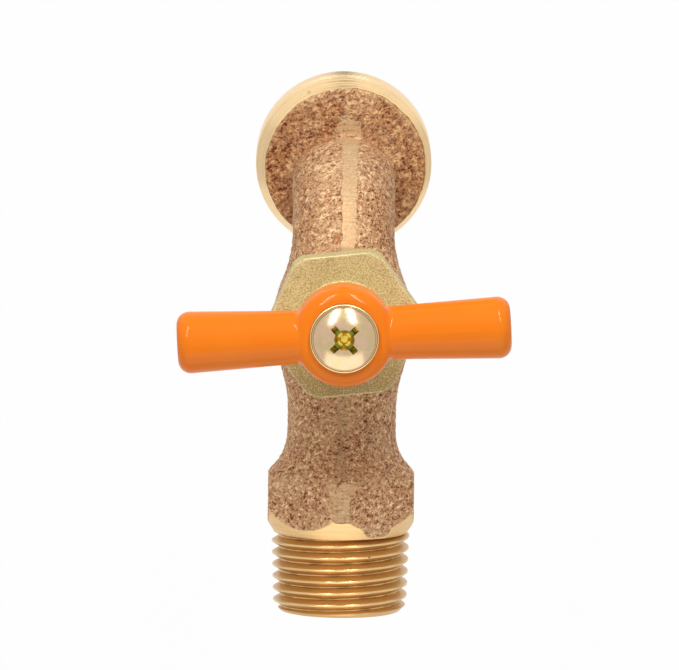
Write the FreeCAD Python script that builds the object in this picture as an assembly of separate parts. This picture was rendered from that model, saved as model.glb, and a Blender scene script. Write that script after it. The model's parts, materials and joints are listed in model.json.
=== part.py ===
# Garden tap: a wall-mounted screw-down tap with a T-handle, a hexagon gland nut and a round turned mouth.
# Lengths in millimetres, angles in degrees.
# Origin at the centre of the inlet's end face. +Y runs into the wall along the inlet's axis, +Z runs up
# along the spindle, and the tap reaches out along -Y. It is modelled shut.

import FreeCAD, Part
import math
import os

V = FreeCAD.Vector

# Inlet: taper pipe thread of nominal size 1/2, 1.814 mm pitch, 1 in 16
inlet_pitch = 1.814
inlet_end_crest_r = 10.22
inlet_taper = 1.0 / 32.0
inlet_thread_depth = 1.162
inlet_crest_flat = 0.26
inlet_root_flat = 0.16
inlet_thread_length = 12.1
inlet_crest_station = 1.53
inlet_end_chamfer = 1.05
inlet_bore_r = 6.5
inlet_bore_chamfer = 0.6

# Inlet hexagon, the turned cone in front of it and the flare behind it
hex_across_flats = 22.2
shoulder_r = 10.2
shoulder_slope = 33.7
hex_length = 4.1
flare_radius = 8.2
neck_r = 8.25

# Globe of the valve chamber: swells from the neck, is widest just behind the spindle, narrows to the spout
spindle_station = 46.0
globe_r = 10.7
globe_back_length = 13.5
globe_front_length = 12.7
globe_crest_offset = 1.5
boss_r = 10.4
boss_height = 14.5

# Spout: an oval tube that leaves the globe level and bends down into the mouth
spout_half_width = 7.8
spout_end_half_depth = 5.9
spout_bend_r = 14.0
spout_bend_start = 5.67
spout_lean = 8.0
spout_drop = 16.1

# Round mouth, turned about an axis that leans as the spout's end does
mouth_r = 13.6
mouth_turned_length = 5.4
mouth_thickness = 7.7
mouth_back_r = 12.45
mouth_back_crown = 0.9
mouth_axis_offset = 0.6
mouth_edge_chamfer = 0.4
mouth_line_depth = 0.12
mouth_line_width = 0.24
mouth_line_count = 3
mouth_bore_r = 8.0
mouth_bore_depth = 6.5
mouth_bore_chamfer = 0.6

# Waterways in the casting
wall_behind_bore = 2.4
duct_half_width = 5.0
duct_height = 5.6
duct_roof_depth = 2.0
seat_bore_r = 4.5
seat_rim_r = 6.3
seat_height = 0.8
chamber_r = 8.25
chamber_head_room = 0.35
passage_r = 4.0
passage_rise = 1.8

# Neck of the body: it carries the spindle's thread inside and the gland nut's thread outside
neck_top = 18.6
neck_thread_r = 8.9
neck_thread_depth = 0.75
neck_thread_pitch = 1.5
neck_thread_root_width = 1.2
neck_thread_crest_width = 0.24
neck_relief = 1.0

# Spindle
spindle_lead = 2.0
spindle_thread_r = 5.5
spindle_thread_depth = 1.1
spindle_thread_root_width = 1.36
spindle_thread_crest_width = 0.62
spindle_stop_gap = 0.1
spindle_stem_r = 3.75
spindle_shoulder_depth = 1.7
spindle_square = 5.8
spindle_set_back = 1.6
spindle_socket_depth = 5.6
turns_open = 2.0

# Jumper valve: brass jumper, rubber washer and the nut under it
jumper_disc_r = 6.2
jumper_disc_thickness = 1.8
jumper_stem_r = 2.45
jumper_stem_length = 5.0
jumper_stud_r = 1.75
jumper_washer_r = 6.2
jumper_washer_thickness = 3.2
jumper_nut_across_flats = 6.4
jumper_nut_thickness = 1.9
jumper_stud_tail = 0.7

# Gland: ring, packing and hexagon nut
gland_ring_thickness = 1.0
gland_ring_r = 7.6
packing_r = 5.3
packing_height = 3.7
packing_cone = 1.1
packing_tip = 0.25
nut_across_flats = 21.25
nut_corner_r = 11.8
nut_turn = 6.3
nut_hex_height = 5.8
nut_edge_chamfer = 0.35
nut_collar_r = 6.35
nut_collar_roof = 2.15
nut_collar_chamfer = 0.5

# T-handle
handle_turn = 3.4
handle_stand_off = 3.4
hub_r = 7.45
hub_lip_below_arm = 0.8
hub_lip_above_arm = 0.7
hub_top_round = 2.3
hub_bottom_round = 0.8
arm_reach = 24.65
arm_root_r = 3.7
arm_tip_r = 4.65
arm_tip_round = 1.9
arm_fillet = 1.0

# Screw and washer on top of the handle
washer_r = 5.15
washer_thickness = 0.9
washer_edge_round = 0.3
washer_bore_r = 2.65
screw_r = 2.5
screw_length = 9.0
screw_head_r = 4.65
screw_head_edge = 0.7
screw_head_height = 1.9
recess_wing_r = 2.62
recess_wing_width = 0.95
recess_depth = 1.75
recess_core_r = 1.5
recess_turn = -2.4

# Clearances
thread_gap = 0.15
stem_gap = 0.1
seal_gap = 0.05
face_gap = 0.05
nut_shoulder_gap = 0.2
square_gap = 0.05
screw_gap = 0.05
overlap = 0.4
ridge_sink = 0.1

# Heights and stations that follow from the sizes above
spindle_y = -spindle_station
seat_face = seat_height
washer_bottom = seat_face + face_gap
washer_top = washer_bottom + jumper_washer_thickness
disc_top = washer_top + jumper_disc_thickness
spindle_bottom = disc_top + face_gap
lift = turns_open * spindle_lead
chamber_height = disc_top + lift + chamber_head_room
spindle_thread_top = neck_top - lift - spindle_stop_gap
ring_bottom = neck_top
ring_top = ring_bottom + gland_ring_thickness
packing_bottom = ring_top + face_gap
packing_top = packing_bottom + packing_height
nut_bottom = boss_height + nut_shoulder_gap
nut_hex_top = nut_bottom + nut_hex_height
nut_collar_top = packing_top + nut_collar_roof
hub_bottom_height = nut_collar_top + handle_stand_off
arm_height = hub_bottom_height + hub_lip_below_arm + arm_root_r
hub_top_height = arm_height + arm_root_r + hub_lip_above_arm
spindle_shoulder_height = hub_bottom_height + spindle_shoulder_depth
spindle_top = hub_top_height - spindle_set_back
washer_seat_height = hub_top_height
screw_seat_height = washer_seat_height + washer_thickness

mouth_axis = V(0, -math.sin(math.radians(spout_lean)), -math.cos(math.radians(spout_lean)))
bend_angle = 90.0 - spout_lean


def turned(outline, rounded=()):
    """Solid turned about the local Z axis from an outline of (radius, height) points."""
    corners = [V(r, 0, h) for r, h in outline]
    wire = Part.makePolygon(corners + [corners[0]])
    for index, radius in rounded:
        wire = round_corner(wire, corners[index], radius)
    return Part.Face(wire).revolve(V(0, 0, 0), V(0, 0, 1), 360)


def round_corner(wire, corner, radius):
    """Replace one corner of a flat outline by a tangent arc."""
    edges = wire.OrderedEdges
    meeting = [e for e in edges if any(v.Point.isEqual(corner, 1e-6) for v in e.Vertexes)]
    ends = []
    for edge in meeting:
        first, last = edge.Vertexes[0].Point, edge.Vertexes[-1].Point
        ends.append(last if first.isEqual(corner, 1e-6) else first)
    legs = [(end - corner).normalize() for end in ends]
    half = legs[0].getAngle(legs[1]) / 2.0
    set_back = radius / math.tan(half)
    starts = [corner + leg * set_back for leg in legs]
    bisector = (legs[0] + legs[1]).normalize()
    middle = corner + bisector * (radius / math.sin(half) - radius)
    kept = [e for e in edges if e not in meeting]
    kept.append(Part.LineSegment(ends[0], starts[0]).toShape())
    kept.append(Part.Arc(starts[0], middle, starts[1]).toShape())
    kept.append(Part.LineSegment(starts[1], ends[1]).toShape())
    return Part.Wire(Part.__sortEdges__(kept))


def cylinder(radius, low, high):
    return Part.makeCylinder(radius, high - low, V(0, 0, low))


def hexagon(across_flats, low, high, corner_angle=0.0):
    """Hexagon prism along the local Z axis with one corner at corner_angle from +X."""
    corner_r = across_flats / math.sqrt(3.0)
    corners = []
    for step in range(7):
        angle = math.radians(corner_angle + 60.0 * step)
        corners.append(V(corner_r * math.cos(angle), corner_r * math.sin(angle), low))
    return Part.Face(Part.makePolygon(corners)).extrude(V(0, 0, high - low))


def helical_ridge(root_r, crest_r, root_width, crest_width, pitch, start, length, taper=0.0, gap=0.0):
    """Right-handed screw ridge round the local Z axis, sunk a little into its core, crossing +X at start.

    A gap above zero grows the ridge all round, as the groove that it runs in.
    """
    flank = (root_width - crest_width) / 2.0 / (crest_r - root_r)
    inner_r = root_r + gap - ridge_sink
    outer_r = crest_r + gap
    inner_half = root_width / 2.0 + gap + flank * (ridge_sink - gap)
    outer_half = crest_width / 2.0 + gap - flank * gap
    profile = Part.makePolygon([
        V(inner_r, 0, start - inner_half),
        V(outer_r, 0, start - outer_half),
        V(outer_r, 0, start + outer_half),
        V(inner_r, 0, start + inner_half),
        V(inner_r, 0, start - inner_half),
    ])
    spine = Part.makeHelix(pitch, length, outer_r, math.degrees(math.atan(taper)))
    spine.translate(V(0, 0, start))
    return Part.Wire(spine.Edges).makePipeShell([profile], True, True)


def onto_inlet(shape):
    """Turn a shape built along local Z onto the inlet's axis, so that local Z runs out of the wall."""
    return shape.rotate(V(0, 0, 0), V(1, 0, 0), 90)


def onto_spindle(shape):
    return shape.translate(V(0, spindle_y, 0))


def mouth_centre():
    """Centre of the mouth's open face."""
    back = spout_end() + V(0, -mouth_axis_offset, 0)
    return back + mouth_axis * mouth_thickness


def onto_mouth(shape):
    """Place a shape built up along local Z from the mouth's open face."""
    return shape.rotate(V(0, 0, 0), V(1, 0, 0), -spout_lean).translate(mouth_centre())


def one_solid(shape):
    """The single solid of a finished piece, without leftover seams."""
    clean = shape.removeSplitter()
    return clean.Solids[0] if len(clean.Solids) == 1 else clean


# Spout route

def bend_route(start_y, start_z, radius, end_z):
    """Level start, arc down to the spout's lean and straight end, in the plane x = 0."""
    turn = math.radians(bend_angle)
    arc_end = V(0, start_y - radius * math.sin(turn), start_z - radius * (1 - math.cos(turn)))
    arc_mid = V(0, start_y - radius * math.sin(turn / 2), start_z - radius * (1 - math.cos(turn / 2)))
    end = arc_end + mouth_axis * ((arc_end.z - end_z) / -mouth_axis.z)
    return V(0, start_y, start_z), arc_mid, arc_end, end


def spout_end():
    """Where the tube's centre line meets the back of the mouth."""
    return bend_route(spindle_y - spout_bend_start, 0, spout_bend_r, -spout_drop)[3]


def oval(centre, direction, half_width, half_depth):
    """Section square to a direction in the plane x = 0: a circle, or an oval that is wide along X."""
    wide = V(1, 0, 0)
    deep = direction.cross(wide)
    if half_depth == half_width:
        circle = Part.Circle(centre, direction, half_width)
        circle.XAxis = wide
        return Part.Wire(circle.toShape())
    curve = Part.Ellipse(centre + wide * half_width, centre + deep * half_depth, centre)
    return Part.Wire(curve.toShape())


def globe_radius(station):
    """Radius at a distance from the wall end, a raised cosine on each side of the widest place."""
    widest = spindle_station - globe_crest_offset
    if station < widest:
        share = (widest - station) / globe_back_length
        base_r = neck_r
    else:
        share = (station - widest) / globe_front_length
        base_r = spout_half_width
    swell = 0.5 + 0.5 * math.cos(math.pi * min(share, 1.0))
    return base_r + (globe_r - base_r) * swell


def globe_back():
    """Distance from the wall end at which the neck starts to swell."""
    return spindle_station - globe_crest_offset - globe_back_length


def globe_and_spout():
    """One skin from the neck over the globe and round the bend, flattening towards the mouth."""
    start, _, _, end = bend_route(spindle_y - spout_bend_start, 0, spout_bend_r, -spout_drop)
    straight_steps = 8
    bend_steps = 8
    sections = []
    first = globe_back()
    run = -start.y - first
    for step in range(straight_steps):
        station = first + run * step / straight_steps
        radius = globe_radius(station)
        sections.append(oval(V(0, -station, 0), V(0, -1, 0), radius, radius))
    for step in range(bend_steps + 1):
        share = step / bend_steps
        turn = math.radians(bend_angle * share)
        centre = V(0, start.y - spout_bend_r * math.sin(turn), -spout_bend_r * (1 - math.cos(turn)))
        direction = V(0, -math.cos(turn), -math.sin(turn))
        width = globe_radius(-centre.y)
        depth = width - (spout_half_width - spout_end_half_depth) * share
        sections.append(oval(centre, direction, width, depth))
    last = end + mouth_axis * overlap
    sections.append(oval(last, mouth_axis, spout_half_width, spout_end_half_depth))
    return Part.makeLoft(sections, True)


def passage():
    """Round waterway from the chamber through the bend into the mouth's bore."""
    first = V(0, spindle_y - chamber_r + passage_r * 0.8, passage_rise)
    bore_floor = mouth_centre() - mouth_axis * (mouth_bore_depth - overlap)
    radius = spout_bend_r - passage_rise / 2.0
    flat = bend_route(0, passage_rise, radius, bore_floor.z)
    shift = V(0, bore_floor.y + mouth_axis_offset - flat[3].y, 0)
    start, mid, arc_end, end = [point + shift for point in flat]
    spine = Part.Wire([
        Part.LineSegment(first, start).toShape(),
        Part.Arc(start, mid, arc_end).toShape(),
        Part.LineSegment(arc_end, end).toShape(),
    ])
    section = Part.Wire(Part.Circle(first, V(0, -1, 0), passage_r).toShape())
    return spine.makePipeShell([section], True, True)


# Body casting

def inlet_stub():
    """Thread core, turned cone, hexagon, flare and plain neck, up to the globe."""
    root_r = inlet_end_crest_r - inlet_thread_depth
    cone_rise = hex_across_flats / math.sqrt(3.0) - shoulder_r + 0.1
    cone_end = inlet_thread_length + cone_rise / math.tan(math.radians(shoulder_slope))
    corner_r = shoulder_r + cone_rise
    flare_start = cone_end + hex_length
    rise = corner_r - neck_r
    flare_run = math.sqrt(2 * flare_radius * rise - rise * rise)
    half_rise = 0.25 * rise
    half_run = flare_run - math.sqrt(2 * flare_radius * half_rise - half_rise * half_rise)
    neck_end = globe_back()
    points = [
        V(0, 0, 0),
        V(root_r, 0, 0),
        V(root_r + inlet_taper * inlet_thread_length, 0, inlet_thread_length),
        V(shoulder_r, 0, inlet_thread_length),
        V(corner_r, 0, cone_end),
        V(corner_r, 0, flare_start),
    ]
    edges = [Part.LineSegment(a, b).toShape() for a, b in zip(points, points[1:])]
    flare_mid = V(neck_r + half_rise, 0, flare_start + half_run)
    flare_end = V(neck_r, 0, flare_start + flare_run)
    edges.append(Part.Arc(points[-1], flare_mid, flare_end).toShape())
    tail = [flare_end, V(neck_r, 0, neck_end), V(0, 0, neck_end), points[0]]
    edges += [Part.LineSegment(a, b).toShape() for a, b in zip(tail, tail[1:])]
    solid = Part.Face(Part.Wire(edges)).revolve(V(0, 0, 0), V(0, 0, 1), 360)
    return solid.common(hexagon(hex_across_flats, 0, neck_end, corner_angle=90))


def inlet_thread():
    """Taper thread on its core, cut off square at the end face and chamfered there."""
    start = inlet_crest_station - 2 * inlet_pitch
    start_r = inlet_end_crest_r + inlet_taper * start
    end = inlet_thread_length + inlet_pitch
    root_r = inlet_end_crest_r - inlet_thread_depth
    core = turned([
        (0, 2 * start),
        (root_r + 2 * start * inlet_taper, 2 * start),
        (root_r + end * inlet_taper, end),
        (0, end),
    ])
    ridge = helical_ridge(
        start_r - inlet_thread_depth, start_r, inlet_pitch - inlet_root_flat, inlet_crest_flat,
        inlet_pitch, start, inlet_thread_length - start + overlap, taper=inlet_taper)
    far_r = inlet_end_crest_r + 1.0
    envelope = turned([
        (0, 0),
        (inlet_end_crest_r - inlet_end_chamfer, 0),
        (far_r, far_r - inlet_end_crest_r + inlet_end_chamfer),
        (far_r, inlet_thread_length + overlap),
        (0, inlet_thread_length + overlap),
    ])
    return core.fuse(ridge).common(envelope)


def threaded_neck():
    """Neck above the boss, with the gland nut's thread on its outside."""
    root_r = neck_thread_r - neck_thread_depth
    core = cylinder(root_r, boss_height - overlap, neck_top)
    start = boss_height + neck_relief
    ridge = helical_ridge(
        root_r, neck_thread_r, neck_thread_root_width, neck_thread_crest_width,
        neck_thread_pitch, start, neck_top - start + neck_thread_pitch)
    envelope = turned([
        (0, 0),
        (neck_thread_r + 1, 0),
        (neck_thread_r + 1, neck_top - neck_thread_depth - 1),
        (root_r, neck_top),
        (0, neck_top),
    ])
    return core.fuse(ridge.common(envelope))


def mouth_ring():
    """Turned ring of the mouth with its crowned cast back, built up from the open face."""
    outline = [
        (0, 0),
        (mouth_r - mouth_edge_chamfer, 0),
        (mouth_r, mouth_edge_chamfer),
        (mouth_r, mouth_turned_length),
        (mouth_back_r, mouth_thickness),
        (spout_half_width, mouth_thickness + mouth_back_crown),
        (0, mouth_thickness + mouth_back_crown),
    ]
    ring = turned(outline)
    pitch = (mouth_turned_length - mouth_edge_chamfer) / (2.0 * mouth_line_count)
    for line in range(mouth_line_count):
        height = mouth_turned_length - pitch * (line + 0.5)
        groove = turned([
            (mouth_r + 1, height - mouth_line_width / 2),
            (mouth_r + 1, height + mouth_line_width / 2),
            (mouth_r - mouth_line_depth, height),
        ])
        ring = ring.cut(groove)
    return ring


def mouth_bore():
    """Bore of the mouth, chamfered at the face, with a drill-point cone at its floor."""
    outer = mouth_bore_r + mouth_bore_chamfer + 1
    return turned([
        (0, -1),
        (outer, -1),
        (mouth_bore_r, mouth_bore_chamfer),
        (mouth_bore_r, mouth_bore_depth),
        (passage_r, mouth_bore_depth + (mouth_bore_r - passage_r) * 0.4),
        (0, mouth_bore_depth + (mouth_bore_r - passage_r) * 0.4),
    ])


def inlet_bore():
    """Straight bore from the wall end to the web behind the chamber."""
    end = spindle_station - chamber_r - wall_behind_bore
    outer = inlet_bore_r + inlet_bore_chamfer + 1
    return turned([(0, -1), (outer, -1), (inlet_bore_r, inlet_bore_chamfer), (inlet_bore_r, end), (0, end)])


def lower_duct():
    """Flat duct that carries water under the web to the seat."""
    low = -duct_roof_depth - duct_height
    radius = duct_height / 2.0
    half_flat = duct_half_width - radius
    start = spindle_station - chamber_r - wall_behind_bore - overlap
    end = spindle_station + seat_bore_r + overlap
    flat = Part.makeBox(2 * half_flat, end - start, duct_height, V(-half_flat, -end, low))
    duct = flat
    for side in (-1, 1):
        edge = Part.makeCylinder(radius, end - start, V(side * half_flat, -end, low + radius), V(0, 1, 0))
        duct = duct.fuse(edge)
    return duct


def valve_chamber():
    """Round chamber over the seat, with the raised seat rim left standing, and the seat's bore."""
    chamber = cylinder(chamber_r, 0, chamber_height)
    rim = cylinder(seat_rim_r, -1, seat_height)
    seat_hole = cylinder(seat_bore_r, -duct_roof_depth - duct_height / 2.0, seat_height + 1)
    return chamber.cut(rim).fuse(seat_hole)


def spindle_ridge(gap, low, high):
    """The spindle's screw ridge between two heights, grown by a clearance for the groove it runs in."""
    root_r = spindle_thread_r - spindle_thread_depth
    turns_up = math.floor((low - spindle_bottom) / spindle_lead)
    start = spindle_bottom + spindle_lead * turns_up
    return helical_ridge(
        root_r, spindle_thread_r, spindle_thread_root_width, spindle_thread_crest_width,
        spindle_lead, start, high - start, gap=gap)


def bore_neck(shape):
    """Cut the neck's bore, the groove of the spindle's thread and its lead-in."""
    bore_r = spindle_thread_r - spindle_thread_depth + thread_gap
    groove_r = spindle_thread_r + thread_gap
    lead_in = turned([
        (0, neck_top - thread_gap),
        (bore_r, neck_top - thread_gap),
        (groove_r, neck_top),
        (groove_r, neck_top + 1),
        (0, neck_top + 1),
    ])
    shape = shape.cut(onto_spindle(cylinder(bore_r, chamber_height - overlap, neck_top + 1)))
    shape = shape.cut(onto_spindle(spindle_ridge(thread_gap, chamber_height, neck_top + spindle_lead)))
    return shape.cut(onto_spindle(lead_in))


def tap_body():
    """The casting with all its machined faces, threads and waterways."""
    shape = globe_and_spout().fuse(onto_spindle(cylinder(boss_r, 0, boss_height)))
    shape = shape.fuse([onto_inlet(inlet_stub()), onto_inlet(inlet_thread())])
    shape = shape.fuse([onto_mouth(mouth_ring()), onto_spindle(threaded_neck())])
    shape = shape.cut([onto_inlet(inlet_bore()), lower_duct()])
    shape = shape.cut(onto_spindle(valve_chamber()))
    shape = shape.cut([passage(), onto_mouth(mouth_bore())])
    return one_solid(bore_neck(shape))


# Gland

def bonnet_nut():
    """Hexagon gland nut: threaded skirt over the neck, collar round the packing."""
    outer = hexagon(nut_across_flats, nut_bottom, nut_hex_top, corner_angle=nut_turn)
    trim = turned([
        (0, nut_bottom),
        (nut_corner_r, nut_bottom),
        (nut_corner_r, nut_hex_top - nut_edge_chamfer),
        (nut_corner_r - nut_edge_chamfer, nut_hex_top),
        (0, nut_hex_top),
    ])
    outer = outer.common(trim)
    collar = turned([
        (0, nut_hex_top - overlap),
        (nut_collar_r, nut_hex_top - overlap),
        (nut_collar_r, nut_collar_top - nut_collar_chamfer),
        (nut_collar_r - nut_collar_chamfer, nut_collar_top),
        (0, nut_collar_top),
    ])
    thread_root_r = neck_thread_r - neck_thread_depth
    inside_r = packing_r + seal_gap
    skirt_bore = cylinder(thread_root_r + thread_gap, nut_bottom - 1, ring_top + face_gap)
    start = boss_height + neck_relief - neck_thread_pitch
    groove = helical_ridge(
        thread_root_r, neck_thread_r, neck_thread_root_width, neck_thread_crest_width,
        neck_thread_pitch, start, ring_top - start, gap=thread_gap)
    groove = groove.common(cylinder(neck_thread_r + 1, nut_bottom - 1, ring_top))
    straight_top = packing_top - packing_cone
    packing_room = turned([
        (0, ring_top - overlap),
        (inside_r, ring_top - overlap),
        (inside_r, straight_top + face_gap),
        (spindle_stem_r + seal_gap + packing_tip + face_gap, packing_top + face_gap),
        (0, packing_top + face_gap),
    ])
    stem_hole = cylinder(spindle_stem_r + stem_gap, packing_top - overlap, nut_collar_top + 1)
    shape = outer.fuse(collar).cut(skirt_bore).cut(groove).cut([packing_room, stem_hole])
    return one_solid(onto_spindle(shape))


def packing_ring():
    """Flat brass ring on the neck that the packing bears on."""
    radius = min(gland_ring_r, neck_thread_r - neck_thread_depth - stem_gap)
    ring = cylinder(radius, ring_bottom, ring_top)
    return onto_spindle(ring.cut(cylinder(spindle_stem_r + stem_gap, ring_bottom - 1, ring_top + 1)))


def gland_packing():
    """Rubber packing with a coned top, round the stem."""
    ring = turned([
        (spindle_stem_r + seal_gap, packing_bottom),
        (packing_r, packing_bottom),
        (packing_r, packing_top - packing_cone),
        (spindle_stem_r + seal_gap + packing_tip, packing_top),
        (spindle_stem_r + seal_gap, packing_top),
    ])
    return onto_spindle(ring)


# Spindle

def spindle():
    """Threaded foot, plain stem and squared end with a tapped hole for the handle's screw."""
    root_r = spindle_thread_r - spindle_thread_depth
    core = turned([
        (0, spindle_bottom),
        (root_r, spindle_bottom),
        (root_r, spindle_thread_top),
        (spindle_stem_r, spindle_thread_top),
        (spindle_stem_r, spindle_top),
        (0, spindle_top),
    ])
    ridge = spindle_ridge(0.0, spindle_bottom, spindle_thread_top + spindle_lead)
    reach = spindle_thread_depth + overlap
    band = turned([
        (0, spindle_bottom),
        (root_r, spindle_bottom),
        (root_r + reach, spindle_bottom + reach),
        (root_r + reach, spindle_thread_top - reach),
        (root_r, spindle_thread_top),
        (0, spindle_thread_top),
    ])
    shape = core.fuse(ridge.common(band))
    side = spindle_square
    corner = V(-side / 2, -side / 2, spindle_shoulder_height)
    square = Part.makeBox(side, side, spindle_top + 1 - spindle_shoulder_height, corner)
    square.rotate(V(0, 0, 0), V(0, 0, 1), handle_turn)
    collar = cylinder(spindle_stem_r + 1, spindle_shoulder_height, spindle_top + 1)
    shape = shape.cut(collar.cut(square))
    socket = cylinder(jumper_stem_r + stem_gap, spindle_bottom - 1, spindle_bottom + spindle_socket_depth)
    tapped = cylinder(screw_r + screw_gap, screw_seat_height - screw_length - 0.5, spindle_top + 1)
    return one_solid(onto_spindle(shape.cut([socket, tapped])))


# Jumper valve

def jumper_valve():
    """Brass jumper: guide stem, disc and the threaded stud under it."""
    stud_bottom = washer_bottom - jumper_nut_thickness - jumper_stud_tail
    shape = turned([
        (0, stud_bottom),
        (jumper_stud_r, stud_bottom),
        (jumper_stud_r, washer_top),
        (jumper_disc_r, washer_top),
        (jumper_disc_r, disc_top),
        (jumper_stem_r, disc_top),
        (jumper_stem_r, disc_top + jumper_stem_length),
        (0, disc_top + jumper_stem_length),
    ])
    return onto_spindle(shape)


def jumper_washer():
    """Rubber sealing washer on the jumper's stud."""
    outer = cylinder(jumper_washer_r, washer_bottom, washer_top)
    return onto_spindle(outer.cut(cylinder(jumper_stud_r + seal_gap, washer_bottom - 1, washer_top + 1)))


def jumper_nut():
    """Small hexagon nut that holds the rubber washer, inside the seat's bore."""
    low = washer_bottom - jumper_nut_thickness
    nut = hexagon(jumper_nut_across_flats, low, washer_bottom)
    return onto_spindle(nut.cut(cylinder(jumper_stud_r + screw_gap, low - 1, washer_bottom + 1)))


# Handle

def handle_arm():
    """One round arm that thickens towards its rounded tip, along local Z."""
    return turned(
        [(0, 0), (arm_root_r - 0.05, 0), (arm_tip_r, arm_reach), (0, arm_reach)],
        rounded=[(2, arm_tip_round)])


def handle():
    """T-handle: a barrel hub with two round arms, bored for the spindle's square."""
    hub = turned(
        [(0, hub_bottom_height), (hub_r, hub_bottom_height), (hub_r, hub_top_height), (0, hub_top_height)],
        rounded=[(1, hub_bottom_round), (2, hub_top_round)])
    shape = hub
    for side in (-1, 1):
        arm = handle_arm().rotate(V(0, 0, 0), V(0, 1, 0), 90 * side).translate(V(0, 0, arm_height))
        shape = shape.fuse(arm)
    shape = fillet_arm_roots(shape.removeSplitter())
    shape.rotate(V(0, 0, 0), V(0, 0, 1), handle_turn)
    side = spindle_square + 2 * square_gap
    room = Part.makeBox(
        side, side, spindle_top + square_gap - spindle_shoulder_height + 2,
        V(-side / 2, -side / 2, spindle_shoulder_height - 2))
    room.rotate(V(0, 0, 0), V(0, 0, 1), handle_turn)
    room = room.common(cylinder(spindle_stem_r + square_gap, spindle_shoulder_height - 2, spindle_top + 2))
    counterbore = cylinder(spindle_stem_r + stem_gap, hub_bottom_height - 1, spindle_shoulder_height)
    screw_hole = cylinder(washer_bore_r, spindle_top - 1, hub_top_height + 1)
    return one_solid(onto_spindle(shape.cut([room, counterbore, screw_hole])))


def fillet_arm_roots(shape):
    """Round the seams where the coned arms leave the hub."""
    solid = shape.Solids[0]
    seams = []
    for edge in solid.Edges:
        faces = solid.ancestorsOfType(edge, Part.Face)
        cones = [face for face in faces if isinstance(face.Surface, Part.Cone)]
        if len(faces) == 2 and len(cones) == 1 and abs(edge.CenterOfMass.x) < hub_r:
            seams.append(edge)
    return solid.makeFillet(arm_fillet, seams)


# Screw on the handle

def screw_washer():
    """Plain washer with a rounded rim under the screw's head."""
    ring = turned(
        [
            (washer_bore_r, washer_seat_height),
            (washer_r, washer_seat_height),
            (washer_r, screw_seat_height),
            (washer_bore_r, screw_seat_height),
        ],
        rounded=[(2, washer_edge_round)])
    return onto_spindle(ring)


def cross_recess():
    """Cross-shaped driver recess, narrowing downwards."""
    top = screw_seat_height + screw_head_height
    shape = turned([
        (0, top - recess_depth),
        (recess_core_r * 0.35, top - recess_depth),
        (recess_core_r, top),
        (recess_core_r, top + 1),
        (0, top + 1),
    ])
    for angle in (45, 135):
        lower = wing_outline(recess_wing_r * 0.62, recess_wing_width * 0.8, top - recess_depth * 0.8)
        upper = wing_outline(recess_wing_r * 1.1, recess_wing_width * 1.05, top + 0.4)
        wing = Part.makeLoft([lower, upper], True, True)
        shape = shape.fuse(wing.rotate(V(0, 0, 0), V(0, 0, 1), angle + recess_turn))
    return shape


def wing_outline(reach, width, height):
    """Level rectangle across the recess at a height."""
    half = width / 2.0
    signs = [(-1, -1), (1, -1), (1, 1), (-1, 1), (-1, -1)]
    return Part.makePolygon([V(reach * along, half * across, height) for along, across in signs])


def handle_screw():
    """Domed screw with a cross recess that clamps the handle."""
    edge_top = screw_seat_height + screw_head_edge
    crown = screw_seat_height + screw_head_height
    start = V(screw_head_r, 0, edge_top)
    middle = V(screw_head_r * 0.62, 0, edge_top + (crown - edge_top) * 0.8)
    peak = V(0, 0, crown)
    foot = screw_seat_height - screw_length
    tail = [
        peak,
        V(0, 0, foot),
        V(screw_r - 0.5, 0, foot),
        V(screw_r, 0, foot + 0.5),
        V(screw_r, 0, screw_seat_height),
        V(screw_head_r - 0.2, 0, screw_seat_height),
        V(screw_head_r, 0, screw_seat_height + 0.2),
        start,
    ]
    edges = [Part.LineSegment(a, b).toShape() for a, b in zip(tail, tail[1:])]
    edges.append(Part.Arc(start, middle, peak).toShape())
    solid = Part.Face(Part.Wire(edges)).revolve(V(0, 0, 0), V(0, 0, 1), 360)
    return one_solid(onto_spindle(solid.cut(cross_recess())))


NODES = {
    "tap_body": tap_body,
    "bonnet_nut": bonnet_nut,
    "packing_ring": packing_ring,
    "gland_packing": gland_packing,
    "spindle": spindle,
    "jumper_valve": jumper_valve,
    "jumper_washer": jumper_washer,
    "jumper_nut": jumper_nut,
    "handle": handle,
    "screw_washer": screw_washer,
    "handle_screw": handle_screw,
}

os.makedirs("parts", exist_ok=True)
for node, make in NODES.items():
    shape = make()
    shape.exportStep("parts/" + node + ".step")
    print(node, "solids", len(shape.Solids), "valid", shape.isValid(), "volume", round(shape.Volume, 1))
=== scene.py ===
"""Garden tap: rough cast body, turned mouth and thread, blasted gland nut, painted handle and plated screw."""

import json
import math

import bmesh
import bpy
import numpy as np
from mathutils import Matrix, Vector, noise

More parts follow.
